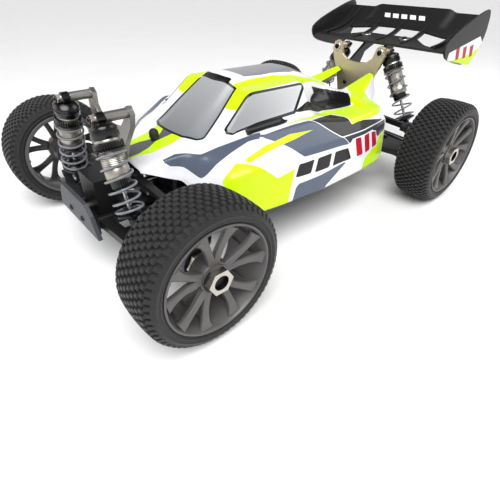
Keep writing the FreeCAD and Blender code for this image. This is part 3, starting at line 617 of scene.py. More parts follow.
# Painted outlines as (x, distance from the spine along the section). Both sides are alike, so an
# outline that crosses the spine runs a little past it.
PAINT = {
    "slate": [
        [(131, 36), (120, 33), (105, 55), (91, 61), (70, 72), (57, 77), (63, 84), (72, 80), (87, 78.5),
         (101, 79), (112, 82), (118, 69), (127, 62), (131, 49)],
        [(67, 79), (56, 82), (23, 79), (1, 79), (-26, 98), (-36, 107), (27, 101), (37, 94), (45, 90),
         (58, 85)],
        [(-34, 123), (8, 125), (35, 125), (39, 128), (45, 142), (4, 142), (0, 138)]],
    "graphite": [[(-27, 98), (-118, 97), (-118, 109), (-100, 113), (-83, 102), (-41, 103), (-37, 107)]],
    "yellow": [
        [(152, -9), (152, 12), (143, 12), (137, 15), (132, 17), (122, 16.5), (102, 17), (102, -9)],
        [(64, 30), (44, 22), (24, 20.5), (-3, 21.5), (-16, 25), (-50, 25), (-100, 17), (-102, 23),
         (-50, 30), (-20, 39), (46, 44), (62, 44)],
        [(104, 97), (90, 89), (82, 95), (74, 100), (59, 113), (39, 109), (50, 142), (106, 142)],
        [(83, 90), (53, 88), (32, 86), (4, 87.5), (44, 90.5), (65, 92.5), (82, 93.5)],
        [(-106, 113), (-91, 122), (-67, 129), (-58, 142), (-119, 142), (-119, 109)]],
    "hood": [[(152, -9), (152, 8), (140, 10), (129, 8), (118, 2.5), (110, 4), (102, 8), (102, -9)]],
    "roof": [[(32, -9), (30, 16), (11, 18), (-5, 18), (-27, 21), (-60, 15), (-90, 8), (-106, 3),
              (-106, -9)]],
    "panel": [[(-1, 79), (-24, 74), (-45, 67), (-50, 77), (-49, 89), (-65, 87), (-117, 97), (-26, 98)]],
    "deck": [[(22, 73), (-8, 72), (-48, 59), (-61, 61), (-91, 62), (-93, 55), (-122, 36), (-127, 31),
              (-140, 20), (-168, 20), (-168, 62), (-133, 58), (-136, 82), (-113, 83), (-113, 87),
              (-87, 89), (-60, 88), (-50, 89), (-51, 77), (-49, 67), (-28, 71), (-3, 76), (24, 75)]],
    # Openings: black painted shade where the shell is open, standing in for the dark inside that shows
    # through.
    "open": [
        [(48, -9), (45, 16), (49, 17), (52, 3), (52, -9)],
        [(66, 71), (60, 60), (16, 60.5), (14, 65), (21, 70), (65, 73)],
        [(-3, 59), (-15, 57), (-36, 52), (-65, 38), (-63, 33), (-91, 33), (-101, 46), (-93, 56),
         (-89, 60), (-48, 58), (-20, 60)]],
    "bars": [
        [(34, 106), (15, 107), (20, 119), (39, 118)], [(10, 107.5), (-9, 108.5), (-5, 121), (15, 120)],
        [(-14, 109), (-34, 110.5), (-40, 122.5), (-10, 121.5)]],
    "slashes": [
        [(-46, 104), (-56, 104), (-61, 123), (-50, 123)],
        [(-62, 104), (-74, 103.5), (-79, 122.5), (-67, 123)],
        [(-80, 104), (-92, 106), (-98, 121), (-86, 122)]],
    "glass": [
        [(53, -9), (52, 7), (50.5, 18), (47.5, 27), (70, 28), (90, 28), (95, 25), (101, 16), (102, 8),
         (102.5, -9)],
        [(76, 44.5), (77, 50), (73, 57.5), (54, 58.5), (-2, 58), (-21, 45), (47, 45.5), (52, 44.5)]],
}


def shell_grid(step):
    """The shell's surface as points[x line, section line], with each point's place in the section.

    Every line in x holds the rails' points at that x, straight between each rail's own points. A
    place in the section is a share of the way from one rail to the next. Behind the cut-out's
    front edge the places spread so that one line follows the edge.
    """
    front = np.linspace(CUT_FRONT, NOSE, round((NOSE - CUT_FRONT) / step))
    x = np.concatenate([np.linspace(TAIL, CUT_FRONT, round((CUT_FRONT - TAIL) / step))[:-1], front])
    rail_y, rail_z = (
        np.stack([np.interp(x, *np.array(rail, float)[::-1, (0, k)].T) for rail in RAILS], 1)
        for k in (1, 2))
    at_cut = np.searchsorted(x, CUT_FRONT)
    halves = np.interp(x, *np.array(CUT_HALF).T)
    edge = np.array([np.interp(half, ys, RAIL_AT) for half, ys in zip(halves, rail_y)])
    first = edge[at_cut]
    inner = np.linspace(0, 1, round(first / step) + 1)
    outer = np.linspace(0, 1, round((RAIL_AT[-1] - first) / step) + 1)[1:]
    edge[at_cut:] = first
    edge = edge[:, None]
    place = np.concatenate([inner * edge, edge + outer * (RAIL_AT[-1] - edge)], 1)
    k = np.clip(np.searchsorted(RAIL_AT, place, "right") - 1, 0, len(RAIL_AT) - 2)
    share = (place - RAIL_AT[k]) / (RAIL_AT[k + 1] - RAIL_AT[k])
    y, z = (np.take_along_axis(v, k, 1) * (1 - share) + np.take_along_axis(v, k + 1, 1) * share
            for v in (rail_y, rail_z))
    half = np.stack([np.repeat(x[:, None], place.shape[1], 1), y, z], -1)
    points = np.concatenate([(half * (1, -1, 1))[:, :0:-1], half], 1)
    cut_lines = len(inner) - 1
    return points, np.concatenate([place[:, :0:-1], place], 1), at_cut, cut_lines


def averaged(points, passes):
    """Each inner point moved to a quarter, a half and a quarter of its line, in both directions."""
    for _ in range(passes):
        points[1:-1] = (points[:-2] + 2 * points[1:-1] + points[2:]) / 4
        points[:, 1:-1] = (points[:, :-2] + 2 * points[:, 1:-1] + points[:, 2:]) / 4
    return points


def build_shell(settings):
    """The painted shell: the rails' surface, averaged, pressed in at windows and vents, with a wall."""
    points, place, at_cut, cut_lines = shell_grid(settings.grid / MM)
    flat = np.stack([points[..., 0], place], -1).reshape(-1, 2)
    masks = {name: np.min([outline_distance(outline, flat) for outline in outlines], 0)
             for name, outlines in PAINT.items()}
    points = averaged(points, settings.softening)
    normal = np.cross(np.gradient(points, axis=0), np.gradient(points, axis=1))
    normal /= np.linalg.norm(normal, axis=-1, keepdims=True)
    press = (settings.window_depth / MM * ramp(-masks["glass"], -1.2, 1.0)
             + settings.vent_depth / MM * ramp(-masks["open"], -0.6, 1.4))
    points -= normal * press.reshape(place.shape)[..., None]
    points[..., 0] += CAR_X
    verts, quads = sheet(points)
    row, column = np.divmod(quads[:, 0], place.shape[1])
    centre = place.shape[1] // 2
    inside = (row < at_cut) & (column >= centre - cut_lines) & (column < centre + cut_lines)
    shell = make_piece("body_shell_painted", [(verts, quads[~inside], "paint")], merge=False, crease=60)
    for name, values in masks.items():
        attribute = shell.data.attributes.new(name, "FLOAT", "POINT")
        attribute.data.foreach_set("value", values.astype(np.float32))
    with edited(shell.data) as work:
        bmesh.ops.delete(work, geom=[v for v in work.verts if not v.link_faces], context="VERTS")
    wall = shell.modifiers.new("wall", "SOLIDIFY")
    wall.thickness = settings.wall
    wall.offset = -1
    return settle(shell, "chassis", "shell_paint", "body_shell")


# ---- wheels ----------------------------------------------------------------------------
TYRE_R = 55.0
TREAD_EDGE = 18.7                        # outermost row of knobs, from the tyre's middle
RIM_INNER, RIM_LIP = 38.0, 41.6
SPOKE_ROOT = 8.0                         # radius in the hub where a spoke begins


def tread_radius(a):
    """Outer radius of the tread at a distance from its middle: nearly flat, round at the shoulder."""
    a = abs(a)
    return TYRE_R - 1.0 * (a / 16) ** 2 - 0.12 * np.clip(a - 15, 0, None) ** 2


def tread_knobs(settings, centre):
    """Square knobs in staggered rows, as one array.

    A knob has a foot, a shoulder and a smaller top. Its point at (u, a, h) goes to the angle of its
    column plus u over the radius, and to the tread's radius at a, less what h lacks of the height.
    """
    half, high = settings.knob / 2 / MM, settings.knob_height / MM
    ring = np.array([(-1, -1), (1, -1), (1, 1), (-1, 1)], float)
    layers = ((half * 1.04, -0.6), (half, high - 0.5), (half - 0.45, high))
    knob = np.concatenate([np.column_stack([ring * size, np.full(4, h)]) for size, h in layers])
    faces = [[4 * k + i, 4 * k + (i + 1) % 4, 4 * k + 4 + (i + 1) % 4, 4 * k + 4 + i]
             for k in (0, 1) for i in range(4)] + [[8, 9, 10, 11]]
    pitch = 2 * TREAD_EDGE / (settings.rows - 1)
    row, column = np.meshgrid(np.arange(settings.rows), np.arange(settings.around), indexing="ij")
    a = (row - (settings.rows - 1) / 2)[..., None] * pitch + knob[:, 1]
    radius = tread_radius(a) - high + knob[:, 2]
    turn = (column + 0.5 * (row % 2))[..., None] * 2 * math.pi / settings.around + knob[:, 0] / TYRE_R
    points = np.stack([radius * np.cos(turn), a, radius * np.sin(turn)], -1).reshape(-1, 3) + centre
    starts = np.arange(row.size)[:, None, None] * len(knob)
    return points, (starts + np.array(faces)).reshape(-1, 4)


def build_tyre(corner, settings):
    """Carcass turned from a closed profile with two moulded ribs on each sidewall, and its knobs."""
    centre = middle("tyre_" + corner)
    tread = [(tread_radius(a) - settings.knob_height / MM, a) for a in np.linspace(0, 18.6, 7)]
    side = [(50.0, 19.8), (48.6, 20.6), (47.6, 20.9), (47.3, 21.15), (46.9, 21.15), (46.6, 20.9),
            (44.6, 20.7), (44.3, 20.95), (43.9, 20.9), (43.6, 20.4), (42.4, 19.6), (41.9, 18.9),
            (40.2, 18.5), (40.2, 14.2), (43.5, 14.2), (48.4, 16.2), (50.4, 10)]
    half = tread + side
    profile = half + [(r, -a) for r, a in half[::-1][:-1]]
    carcass = turned(profile, centre, (0, 1, 0), 120, closed=True)
    knobs = tread_knobs(settings, centre)
    tyre = make_piece("tyre_tread_" + corner, [(*carcass, "tread"), (*knobs, "tread")])
    return settle(tyre, "wheel " + corner, "tyre_rubber", "tyre_" + corner)


def wheel_spoke(centre, side, angle, lean):
    """A spoke swept from the hub to the barrel: it leans away from its pair, thins and flares again."""
    t = np.linspace(0, 1, 18)
    radius = SPOKE_ROOT + (RIM_INNER + 1.2 - SPOKE_ROOT) * t
    turn = angle + lean * (0.46 + 0.54 * t ** 1.3)
    depth = 11.2 + 6.0 * t ** 1.3
    out = np.stack([np.cos(turn), np.zeros_like(t), np.sin(turn)], 1)
    axis = np.array((0.0, side, 0.0))
    path = centre + radius[:, None] * out + depth[:, None] * axis
    run = np.gradient(path, axis=0)
    run /= np.linalg.norm(run, axis=1, keepdims=True)
    up = axis - (axis * run).sum(1, keepdims=True) * run
    up /= np.linalg.norm(up, axis=1, keepdims=True)
    width = 2.5 + 0.5 * (1 - t) ** 2 + 3.2 * t ** 6
    thick = 2.7 - 0.9 * t
    return swept(path, np.cross(run, up), up, squircle(14, 0.45), width, thick)


def build_rim(corner, settings):
    """Dish wheel: barrel, hub, spokes in pairs and a stiffening rib on the barrel at each spoke."""
    centre = middle("rim_" + corner)
    side = math.copysign(1, centre[1])
    axis = (0, side, 0)
    barrel = [(40.0, -18.2), (41.4, -18.4), (RIM_LIP, -18.8), (RIM_LIP, -20.0), (41.2, -20.4),
              (38.4, -20.4), (RIM_INNER, -20.0), (36.6, -6), (36.9, 8), (38.0, 14.5), (39.5, 18.2),
              (39.9, 20.0), (40.3, 20.5), (41.1, 20.6), (RIM_LIP, 20.3), (RIM_LIP, 18.9),
              (41.3, 18.5), (40.0, 18.2)]
    hub = [(4.1, 1), (12.6, 1), (13, 1.4), (12.6, 9), (11.8, 12.8), (11.2, 13.8), (10.4, 14), (4.1, 14)]
    parts = [(*turned(barrel, centre, axis, 120, closed=True), "wheel"),
             (*turned(hub, centre, axis, 60, closed=True), "wheel")]
    for pair in range(settings.pairs):
        middle_angle = math.radians(90) + 2 * math.pi * pair / settings.pairs
        for lean in (-settings.lean, settings.lean):
            parts.append((*wheel_spoke(centre, side, middle_angle, lean), "wheel"))
            angle = middle_angle + lean
            out = np.array((math.cos(angle), 0, math.sin(angle)))
            along = np.array((math.sin(angle), 0, -math.cos(angle)))
            rib = [centre + r * out + a * np.array(axis) - 0.5 * along for r, a in (
                (RIM_INNER + 0.5, -16), (36.0, -14), (34.8, 12), (RIM_INNER + 0.5, 12))]
            parts.append((*prism(rib, along), "wheel"))
    rim = make_piece("rim_dish_" + corner, parts, crease=40)
    return settle(rim, "wheel " + corner, "wheel_nylon", "rim_" + corner)


# ---- shocks ----------------------------------------------------------------------------
SHOCK_END = {"f": (50.0, 69.0), "r": (58.0, 80.0)}      # body's end and cup, from the upper pivot
COLLAR = (16.0, 22.0)                                   # the collar's two ends, from there too
EYE_R = 5.6                                             # the CAD rod's eye, whose foot is its lowest point


def joint(name):
    return next(j for j in frame["joints"] if j["name"] == name)


def shock_line(corner):
    """Upper pivot in mm, and the direction down the shock."""
    pivot = np.array(joint("shock_swing_" + corner)["pos_m"]) / MM
    return pivot, -np.array(joint("shock_slide_" + corner)["axis"], float)


def eyelet(centre, r0, r1, half):
    """A ring with chamfered rims along X, around a pin."""
    c = 0.5
    profile = [(r0, -half), (r1 - c, -half), (r1, -half + c), (r1, half - c), (r1 - c, half), (r0, half)]
    return turned(profile, centre, (1, 0, 0), 36, closed=True)


def build_shock(corner, settings):
    """Body, rod and spring of one shock; the body and the rod each on its own body."""
    top, down = shock_line(corner)
    end, cup = SHOCK_END[corner[0]]
    reach = abs((corners("shock_rod_" + corner)[0][2] + EYE_R - top[2]) / down[2])
    cap = [(0, 2.6), (3.8, 2.8), (5.4, 3.2), (7.4, 4.2), (9.2, 5.6), (9.9, 6.6), (9.9, 8.2), (9.5, 8.5),
           (9.5, 9.0), (10.1, 9.3), (10.1, 13.4), (9.8, 13.8), (8.9, 14.0)]
    pitch = settings.thread / MM
    s = np.arange(COLLAR[1], end - 16, pitch / 6)
    thread = np.stack([8.95 - 0.14 * np.cos(2 * math.pi * s / pitch), s], 1)
    low, high = COLLAR
    barrel = [(8.8, 14), (9.1, 14.4), (9.1, low), (9.0, high - 0.3), *thread, (9.2, end - 15.6),
              (9.2, end - 8.2), (8.8, end - 7.6)]
    seal = [(8.8, end - 7.6), (7.6, end - 7.4), (7.6, end - 2.0), (7.1, end - 0.6), (5.2, end),
            (1.6, end)]
    collar = [(8.9, low), (10.6, low), (11.0, low + 0.4), (11.0, low + 4.2), (10.6, low + 4.6),
              (11.4, low + 4.9), (11.4, high - 0.3), (11.1, high - 0.1), (8.9, high - 0.1)]
    bush = [(2.15, -3.9), (2.9, -3.9), (3.3, 0), (2.9, 3.9), (2.15, 3.9)]
    body = make_piece("shock_cylinder_" + corner, [
        (*eyelet(top, 2.1, 4.4, 3.2), "black"),
        (*turned(bush, top, (1, 0, 0), 32, closed=True), "bright"),
        (*turned(cap, top, down, 72), "black"),
        (*turned(barrel, top, down, 60), "turned"),
        (*turned(seal, top, down, 96, 24, 0.03), "black"),
        (*turned(collar, top, down, 144, 36, 0.05, closed=True), "black")], crease=38)
    settle(body, "shock body " + corner, "shock_alloy", "shock_body_" + corner)

    eye = top + down * reach
    seat = [(1.5, cup - 4.2), (5.4, cup - 4.0), (6.4, cup - 2.4), (9.6, cup - 0.6),
            (11.2, cup + 0.2), (11.2, cup + 1.4), (10.4, cup + 2.2), (5.8, cup + 3.4), (4.4, cup + 4.4)]
    boot = [(4.4, cup + 4.4), (3.6, cup + 5.0), (3.6, reach - 4.2), (3.9, reach - 3.6),
            (3.6, reach - 3.0)]
    ball = [(2.95, -3.9), (3.4, -3.4), (4.2, -1.8), (4.5, 0), (4.2, 1.8), (3.4, 3.4), (2.95, 3.9)]
    rod = make_piece("shock_shaft_" + corner, [
        (*turned([(1.5, end - 13), (1.5, cup + 2)], top, down, 24), "steel"),
        (*turned(seat, top, down, 72), "black"), (*turned(boot, top, down, 40), "nylon"),
        (*eyelet(eye, 4.3, 5.7, 2.6), "nylon"),
        (*turned(ball, eye, (1, 0, 0), 32, closed=True), "bright")], crease=38)
    settle(rod, "shock rod " + corner, "shock_rod", "shock_rod_" + corner)

    wire, turns = settings.wire / MM, settings.turns
    s0, s1 = COLLAR[1] + wire, cup - 0.6 - wire
    turn = np.linspace(0, turns, round(turns * 30))
    along = np.interp(turn, (0, 0.9, turns - 0.9, turns), (s0, s0 + 2.0 * wire, s1 - 2.0 * wire, s1))
    along[1:-1] = (along[:-2] + 2 * along[1:-1] + along[2:]) / 4
    d, first, second = across(down)
    out = np.cos(2 * math.pi * turn)[:, None] * first + np.sin(2 * math.pi * turn)[:, None] * second
    path = top + along[:, None] * d + settings.coil / MM * out
    coil = swept(path, out, d[None], squircle(10, 1.0), wire, wire)
    spring = make_piece("shock_coil_" + corner, [(*coil, "spring")])
    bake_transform(spring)
    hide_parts("shock_spring_" + corner)


# ---- wing ------------------------------------------------------------------------------
BLADE_FRONT, BLADE_CHORD, BLADE_HALF, BLADE_THICK = -196.0, 84.0, 94.0, 2.6
WINDOWS = ((3.5, 31.0), (38.0, 71.0))    # openings in the blade, distances from its middle
BLADE_LINES = (0, 15, 26, 40)            # lines at the front edge, the windows' two edges and the tail
END_PLATE = [(-191, 147), (-204, 137.5), (-267, 126), (-291, 153), (-285, 183), (-273, 186), (-193, 161)]
END_DECAL = [(-203.6, 146.4), (-276, 158), (-286.5, 151), (-266.5, 127.5), (-209, 137.2), (-203.2, 139.4)]
END_DECAL_LOW = [(-210, 137.5), (-262, 140.5), (-283.5, 146), (-266.5, 127.5), (-208.6, 138.2)]


def blade_point(t, y):
    """A point of the blade's upper face.

    It rises with t and t cubed, and its rear flap steps up in the middle.
    """
    z = 148.0 + 4.0 * t + 27.0 * t ** 3 + 3.4 * ramp(t, 0.72, 0.77) * ramp(-abs(y), -60, -48)
    return np.stack([CAR_X + BLADE_FRONT - BLADE_CHORD * t, y, z], -1)


def blade():
    """The blade's upper face with its windows left open: the lines in t follow the windows' edges."""
    edges = sorted({s * e for w in WINDOWS for e in w for s in (-1, 1)} | {-BLADE_HALF, BLADE_HALF})
    y = np.unique(np.concatenate([
        np.linspace(a, b, max(3, round((b - a) / 2.5))) for a, b in zip(edges, edges[1:])]))
    front = np.interp(abs(y), (0, 38, 60, 71, 94), (0.46, 0.46, 0.22, 0.16, 0.3))
    rear = np.interp(abs(y), (0, 30, 38, 65, 94), (0.70, 0.69, 0.66, 0.59, 0.6))
    line = np.arange(BLADE_LINES[-1] + 1)
    t = np.stack([np.interp(line, BLADE_LINES, (0, f, r, 1)) for f, r in zip(front, rear)], 1)
    points, quads = sheet(blade_point(t, np.repeat(y[None], len(line), 0))[:, ::-1])
    row, column = np.divmod(quads[:, 0], len(y))
    between = (y[::-1][column] + y[::-1][column + 1]) / 2
    open_there = np.any([(abs(between) > a) & (abs(between) < b) for a, b in WINDOWS], 0)
    in_window = (row >= BLADE_LINES[1]) & (row < BLADE_LINES[2])
    return points, quads[~(open_there & in_window)]


def blade_strip(t0, t1, y0, y1, lift, height, slant=0.0):
    """A closed strip that lies on the blade between two places in t and y, lift above its face."""
    t, y = np.meshgrid(np.linspace(t0, t1, 14), np.linspace(y0, y1, 4), indexing="ij")
    y = y + slant * (t - t0)
    low = blade_point(t, y) + (0, 0, lift)
    ring = np.concatenate([low, (low + (0, 0, height))[:, ::-1]], 1)
    caps = [np.repeat(ring[i].mean(0)[None, None], ring.shape[1], 1) for i in (0, -1)]
    return sheet(np.concatenate([caps[0], ring, caps[1]]), wrap_v=True)


def build_wing():
    """Wing: blade with windows and wall, fences, end plates with their prints, and printed bars."""
    sheet_part = make_piece("wing_blade", [(*blade(), "nylon")], crease=50)
    wall = sheet_part.modifiers.new("wall", "SOLIDIFY")
    wall.thickness = BLADE_THICK * MM
    wall.offset = -1
    if sheet_part.data.polygons[0].normal.z < 0:
        sheet_part.data.flip_normals()
    soften(sheet_part, 0.4)
    settle(sheet_part, "chassis", "wing_nylon", "rear_wing")

    parts = []
    for side in (-1, 1):
        inner = side * (BLADE_HALF - 0.2)
        plate = [(CAR_X + x, inner, z) for x, z in rounded(END_PLATE)]
        parts.append((*prism(plate, (0, side * 2.4, 0)), "nylon"))
        parts.append((*blade_strip(0.05, 0.94, side * 78.0, side * 79.6, -0.5, 4.6), "nylon"))
        for y in (34.5, 73.5):
            parts.append((*blade_strip(0.10, 0.75, side * y - 0.9, side * y + 0.9, -0.5, 2.4), "nylon"))
    parts.append((*blade_strip(0.10, 0.75, -0.9, 0.9, -0.5, 2.4), "nylon"))
    fences = make_piece("wing_end_plates", parts, bevel=0.35)
    settle(fences, "chassis", "wing_nylon", "rear_wing")

    prints = [(*blade_strip(0.80, 0.87, y, y + 8.5, 0.3, 0.15, -60.0), "white_vinyl")
              for y in np.arange(-30.0, 22.0, 12.5)]
    for side in (-1, 1):
        face = side * (BLADE_HALF + 2.2)
        bands = [(END_DECAL, 0.1, "white_vinyl"), (END_DECAL_LOW, 0.2, "yellow_vinyl")]
        bands += [([(x, 149), (x - 8, 150.3), (x - 13, 137.5), (x - 6, 136.8)], 0.3, "red_vinyl")
                  for x in (-219, -237, -255)]
        for outline, lift, material in bands:
            placed = [(CAR_X + x, face, z) for x, z in outline]
            prints.append((*prism(placed, (0, side * lift, 0)), material))
    settle(make_piece("wing_prints", prints), "chassis", "wing_nylon", "rear_wing")


def build_posts():
    """Body posts: soft capsules that stand through the shell's holes."""
    parts = []
    foot = 84.0
    for x, y, top, r in ((118, 0, 104.4, 4.2), (-148, 12, 96.0, 3.4), (-148, -12, 96.0, 3.4)):
        dome = [(0, top), (0.35 * r, top - 0.06 * r), (0.7 * r, top - 0.28 * r),
                (0.93 * r, top - 0.6 * r), (r, top - r), (r, top - 7.5), (0.8 * r, top - 8.2),
                (0.8 * r, foot), (0, foot)]
        parts.append((*turned(dome, (CAR_X + x, y, 0), (0, 0, 1), 36), "rubber"))
    settle(make_piece("body_post_caps", parts), "chassis", "post_rubber", "body_posts")


# ---- screws ----------------------------------------------------------------------------
TOWER_LEAN = math.radians(6)             # the front tower leans back
FRONT_FACE, FRONT_FACE_Z = 159.8, 75.0   # the front tower's front, at that height
REAR_FACE = -169.1                       # the rear tower's front


def button_screw(place, direction, radius, washer=0.0):
    """Domed screw with a hexagon socket, on a washer if it has one."""
    d = across(direction)[0]
    base = np.array(place, float)
    parts = []
    if washer:
        rim = [(0.5, -0.6), (washer - 0.3, -0.6), (washer, -0.3), (washer, 0.8), (washer - 0.5, 1.3),
               (0.5, 1.3)]
        parts.append((*turned(rim, base, d, 28, closed=True), "bright"))
        base = base + 1.1 * d
    dome = radius * np.array([(1, 0), (0.97, 0.25), (0.8, 0.5), (0.52, 0.6)])
    parts.append((*turned(dome, base, d, 18), "screw"))
    socket = radius * np.array([(0.52, 0.6), (0.48, 0.58), (0.46, 0.15), (0, 0.15)])
    parts.append((*turned(socket, base, d, 6), "screw"))
    return parts


def lock_nut(place, direction, flats):
    """Hexagon nut with a rounded collar, around the end of a stud."""
    r = flats / math.sqrt(3)
    body = turned([(0.5, 0), (r, 0), (r, 2.6), (r * 0.86, 3.1)], place, direction, 6)
    collar = turned([(r * 0.84, 2.9), (r * 0.8, 3.9), (r * 0.62, 4.3), (r * 0.45, 4.2),
                     (r * 0.45, 3.4), (0, 3.4)], place, direction, 24)
    return [(*body, "bright"), (*collar, "black")]


def build_screws():
    """Screws, washers and nuts of the towers, the wing, the bumper and the plate."""
    def front_face(y, z):
        return CAR_X + FRONT_FACE - (z - FRONT_FACE_Z) * math.tan(TOWER_LEAN), y, z

    lean = (math.cos(TOWER_LEAN), 0, math.sin(TOWER_LEAN))
    underside = corners("chassis_plate")[0][2] + 0.1
    parts = []
    for side in (-1, 1):
        shock_front, shock_rear = shock_line("fl")[0], shock_line("rl")[0]
        parts += lock_nut((shock_front[0] + 3.9, side * shock_front[1], shock_front[2]), (1, 0, 0), 5.5)
        parts += lock_nut((shock_rear[0] - 3.9, side * shock_rear[1], shock_rear[2]), (-1, 0, 0), 5.5)
        for y, z in ((8.0, 79), (9.5, 92)):
            parts += button_screw(front_face(side * y, z), lean, 2.7)
        parts += button_screw(front_face(side * 20, 104), lean, 2.2)
        parts += button_screw((CAR_X + REAR_FACE, side * 31, 141), (1, 0, 0), 3.0, 4.8)
        for y, z in ((8, 85), (12, 102)):
            parts += button_screw((CAR_X + REAR_FACE, side * y, z), (1, 0, 0), 2.4)
        spot = blade_point(np.array(0.33), np.array(side * 28.0)) + (0, 0, 0.5)
        parts += button_screw(spot, (0.1, 0, 1), 3.3, 6.4)
        parts += button_screw((corners("front_bumper")[1][0] - 0.05, side * 12, 50), (1, 0, 0), 2.4)
        for x in (-178, -128, -84, -30, 30, 84, 128, 178):
            y = 9 if abs(x) > 100 else 52
            parts += button_screw((CAR_X + x, side * y, underside), (0, 0, -1), 2.6)
    settle(make_piece("screws_and_washers", parts), "chassis", "link_steel")


# ---- what stays as the CAD has it ------------------------------------------------------
# Node (without its corner), material, edge radius in mm and the record's slot.
SOFTENED = {
    "lower_arm": ("nylon", 0.7, "arm_nylon"), "upper_arm": ("nylon", 0.5, "arm_nylon"),
    "c_hub": ("nylon", 0.5, "arm_nylon"), "rear_hub": ("chassis", 0.4, "hub_alloy"),
    "steering_knuckle": ("chassis", 0.4, "hub_alloy"), "tie_rod": ("nylon", 0.3, "link_steel"),
    "axle": ("bright", 0.3, "axle_steel"), "steering_link": ("hard", 0.3, "link_alloy"),
    "side_guards": ("nylon", 0.6, "guard_nylon"), "front_bumper": ("grey", 1.0, "bumper_nylon"),
    "gearbox_cases": ("nylon", 0.7, "case_nylon"), "front_shock_tower": ("hard", 0.35, "tower_grey"),
    "rear_shock_tower": ("gold", 0.35, "tower_gold"), "wing_mount": ("nylon", 0.5, "stay_nylon"),
    "chassis_plate": ("chassis", 0.4, "plate_alloy"),
}
KEPT = {"driveshaft": "steel", "centre_driveline": "steel", "motor_pinion": "steel", "motor": "black",
        "battery_pack": "case", "radio_gear": "case"}


def kind_of(node):
    """The node's name without its corner."""
    return node[:-3] if node[-3:] in ["_" + c for c in CORNERS] else node


def darken_flange(axle, centre):
    """The wheel's flange and the nut's bore are dark; the shaft and the nut stay bright.

    Faces are told apart by their distance out from the rim's middle and from the axle's axis, in mm.
    """
    axle.data.materials.append(finish("wheel"))
    axle.data.materials.append(finish("screw"))
    place = np.empty(3 * len(axle.data.polygons))
    axle.data.polygons.foreach_get("center", place)
    out = abs(place.reshape(-1, 3)[:, 1]) / MM - abs(centre[1])
    radius = np.linalg.norm(place.reshape(-1, 3)[:, (0, 2)] / MM - centre[[0, 2]], axis=1)
    flange = (out > 13.5) & (out < 15.6) & (radius > 4)
    bore = (out > 14) & (out < 20.6) & (radius < 5.65)
    axle.data.polygons.foreach_set("material_index", flange + 2 * bore)


def dress_cad():
    """Gives softened copies to the moulded and milled parts, and materials to the rest."""
    for node, made in sorted(frame["nodes"].items()):
        kind = kind_of(node)
        if kind in SOFTENED:
            material, width, slot = SOFTENED[kind]
            copy = cad_copy(node + "_finished", node, material, width, made["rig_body"], slot)
            if kind == "axle":
                darken_flange(copy, middle("rim_" + node[-2:]))
        elif kind in KEPT:
            for i in range(len(made.data.materials)):
                made.material_slots[i].link = "OBJECT"
                made.material_slots[i].material = finish(KEPT[kind])


# ---- stage -----------------------------------------------------------------------------
CAMERA_AT = (267.98, 296.28, 215.39)           # from the middle of the wheelbase
CAMERA_TURN = (-2.304, -0.645, 0.023)          # azimuth, elevation and roll of the view, radians
LAMPS = (                                      # name, place, width in mm, share of the key's power
    ("key", (500, 500, 900), 900, 1.0),
    ("fill", (900, -500, 500), 700, 0.35),
    ("rear", (-700, 300, 800), 700, 0.5))
PAPER = 9000.0                                 # half the floor's side


def build_stage(settings):
    """Camera, white paper floor and soft light."""
    az, el, roll = CAMERA_TURN
    ahead = Vector((math.cos(el) * math.cos(az), math.cos(el) * math.sin(az), math.sin(el)))
    right = ahead.cross(Vector((0, 0, 1))).normalized()
    up = right.cross(ahead)
    tilt_right = math.cos(roll) * right + math.sin(roll) * up
    tilt_up = -math.sin(roll) * right + math.cos(roll) * up
    camera = add_object("camera", bpy.data.cameras.new("camera"))
    camera.data.lens = settings.lens
    camera.data.clip_start = 0.01
    place = Vector((CAMERA_AT[0] + CAR_X, CAMERA_AT[1], CAMERA_AT[2])) * MM
    turn = Matrix((tilt_right, tilt_up, -ahead)).transposed().to_4x4()
    camera.matrix_world = Matrix.Translation(place) @ turn
    bpy.context.scene.camera = camera

    reach = np.linspace(-PAPER, PAPER, 3)
    paper = np.stack(np.meshgrid(reach, reach, [0], indexing="ij"), -1)[:, :, 0]
    floor = make_piece("floor", [(*sheet(paper), "floor")], merge=False)
    even = add_object("even", bpy.data.lights.new("even", "SUN"))
    even.data.energy = settings.sun
    even.data.angle = math.radians(50)
    even.rotation_euler = (-Vector((0.35, 0.5, 1.0))).to_track_quat("-Z", "Y").to_euler()
    for name, at, size, share in LAMPS:
        light = add_object(name, bpy.data.lights.new(name, "AREA"))
        light.data.shape = "DISK"
        light.data.size = size * MM
        light.data.energy = settings.key * share
        light.location = Vector(at) * MM
        light.rotation_euler = (-Vector(at)).to_track_quat("-Z", "Y").to_euler()
    bpy.context.scene.view_settings.view_transform = "Standard"
    world = bpy.data.worlds.new("sky")
    world.use_nodes = True
    toward = add(world.node_tree, "ShaderNodeSeparateXYZ", {
        "Vector": add(world.node_tree, "ShaderNodeTexCoord").outputs["Generated"]}).outputs["Z"]
    height = add(world.node_tree, "ShaderNodeMapRange", {
        "Value": toward, "From Min": 0.05, "From Max": 0.85,
        "To Min": settings.sky, "To Max": settings.ceiling}, interpolation_type="SMOOTHSTEP").outputs[0]
    set_inputs(world.node_tree, world.node_tree.nodes["Background"],
               {"Color": from_hex("FFFFFF"), "Strength": height})
    bpy.context.scene.world = world


# ---- operators and panel ---------------------------------------------------------------
class BUGGY_OT_shell(bpy.types.Operator):
    """Build the painted body shell"""
    bl_idname = "buggy.shell"
    bl_label = "Body shell"

    def execute(self, context):
        build_shell(context.scene.buggy_shell)
        return {"FINISHED"}


class BUGGY_OT_tyres(bpy.types.Operator):
    """Build the four tyres with their tread"""
    bl_idname = "buggy.tyres"
    bl_label = "Tyres"

    def execute(self, context):
        for corner in CORNERS:
            build_tyre(corner, context.scene.buggy_tyre)
        return {"FINISHED"}


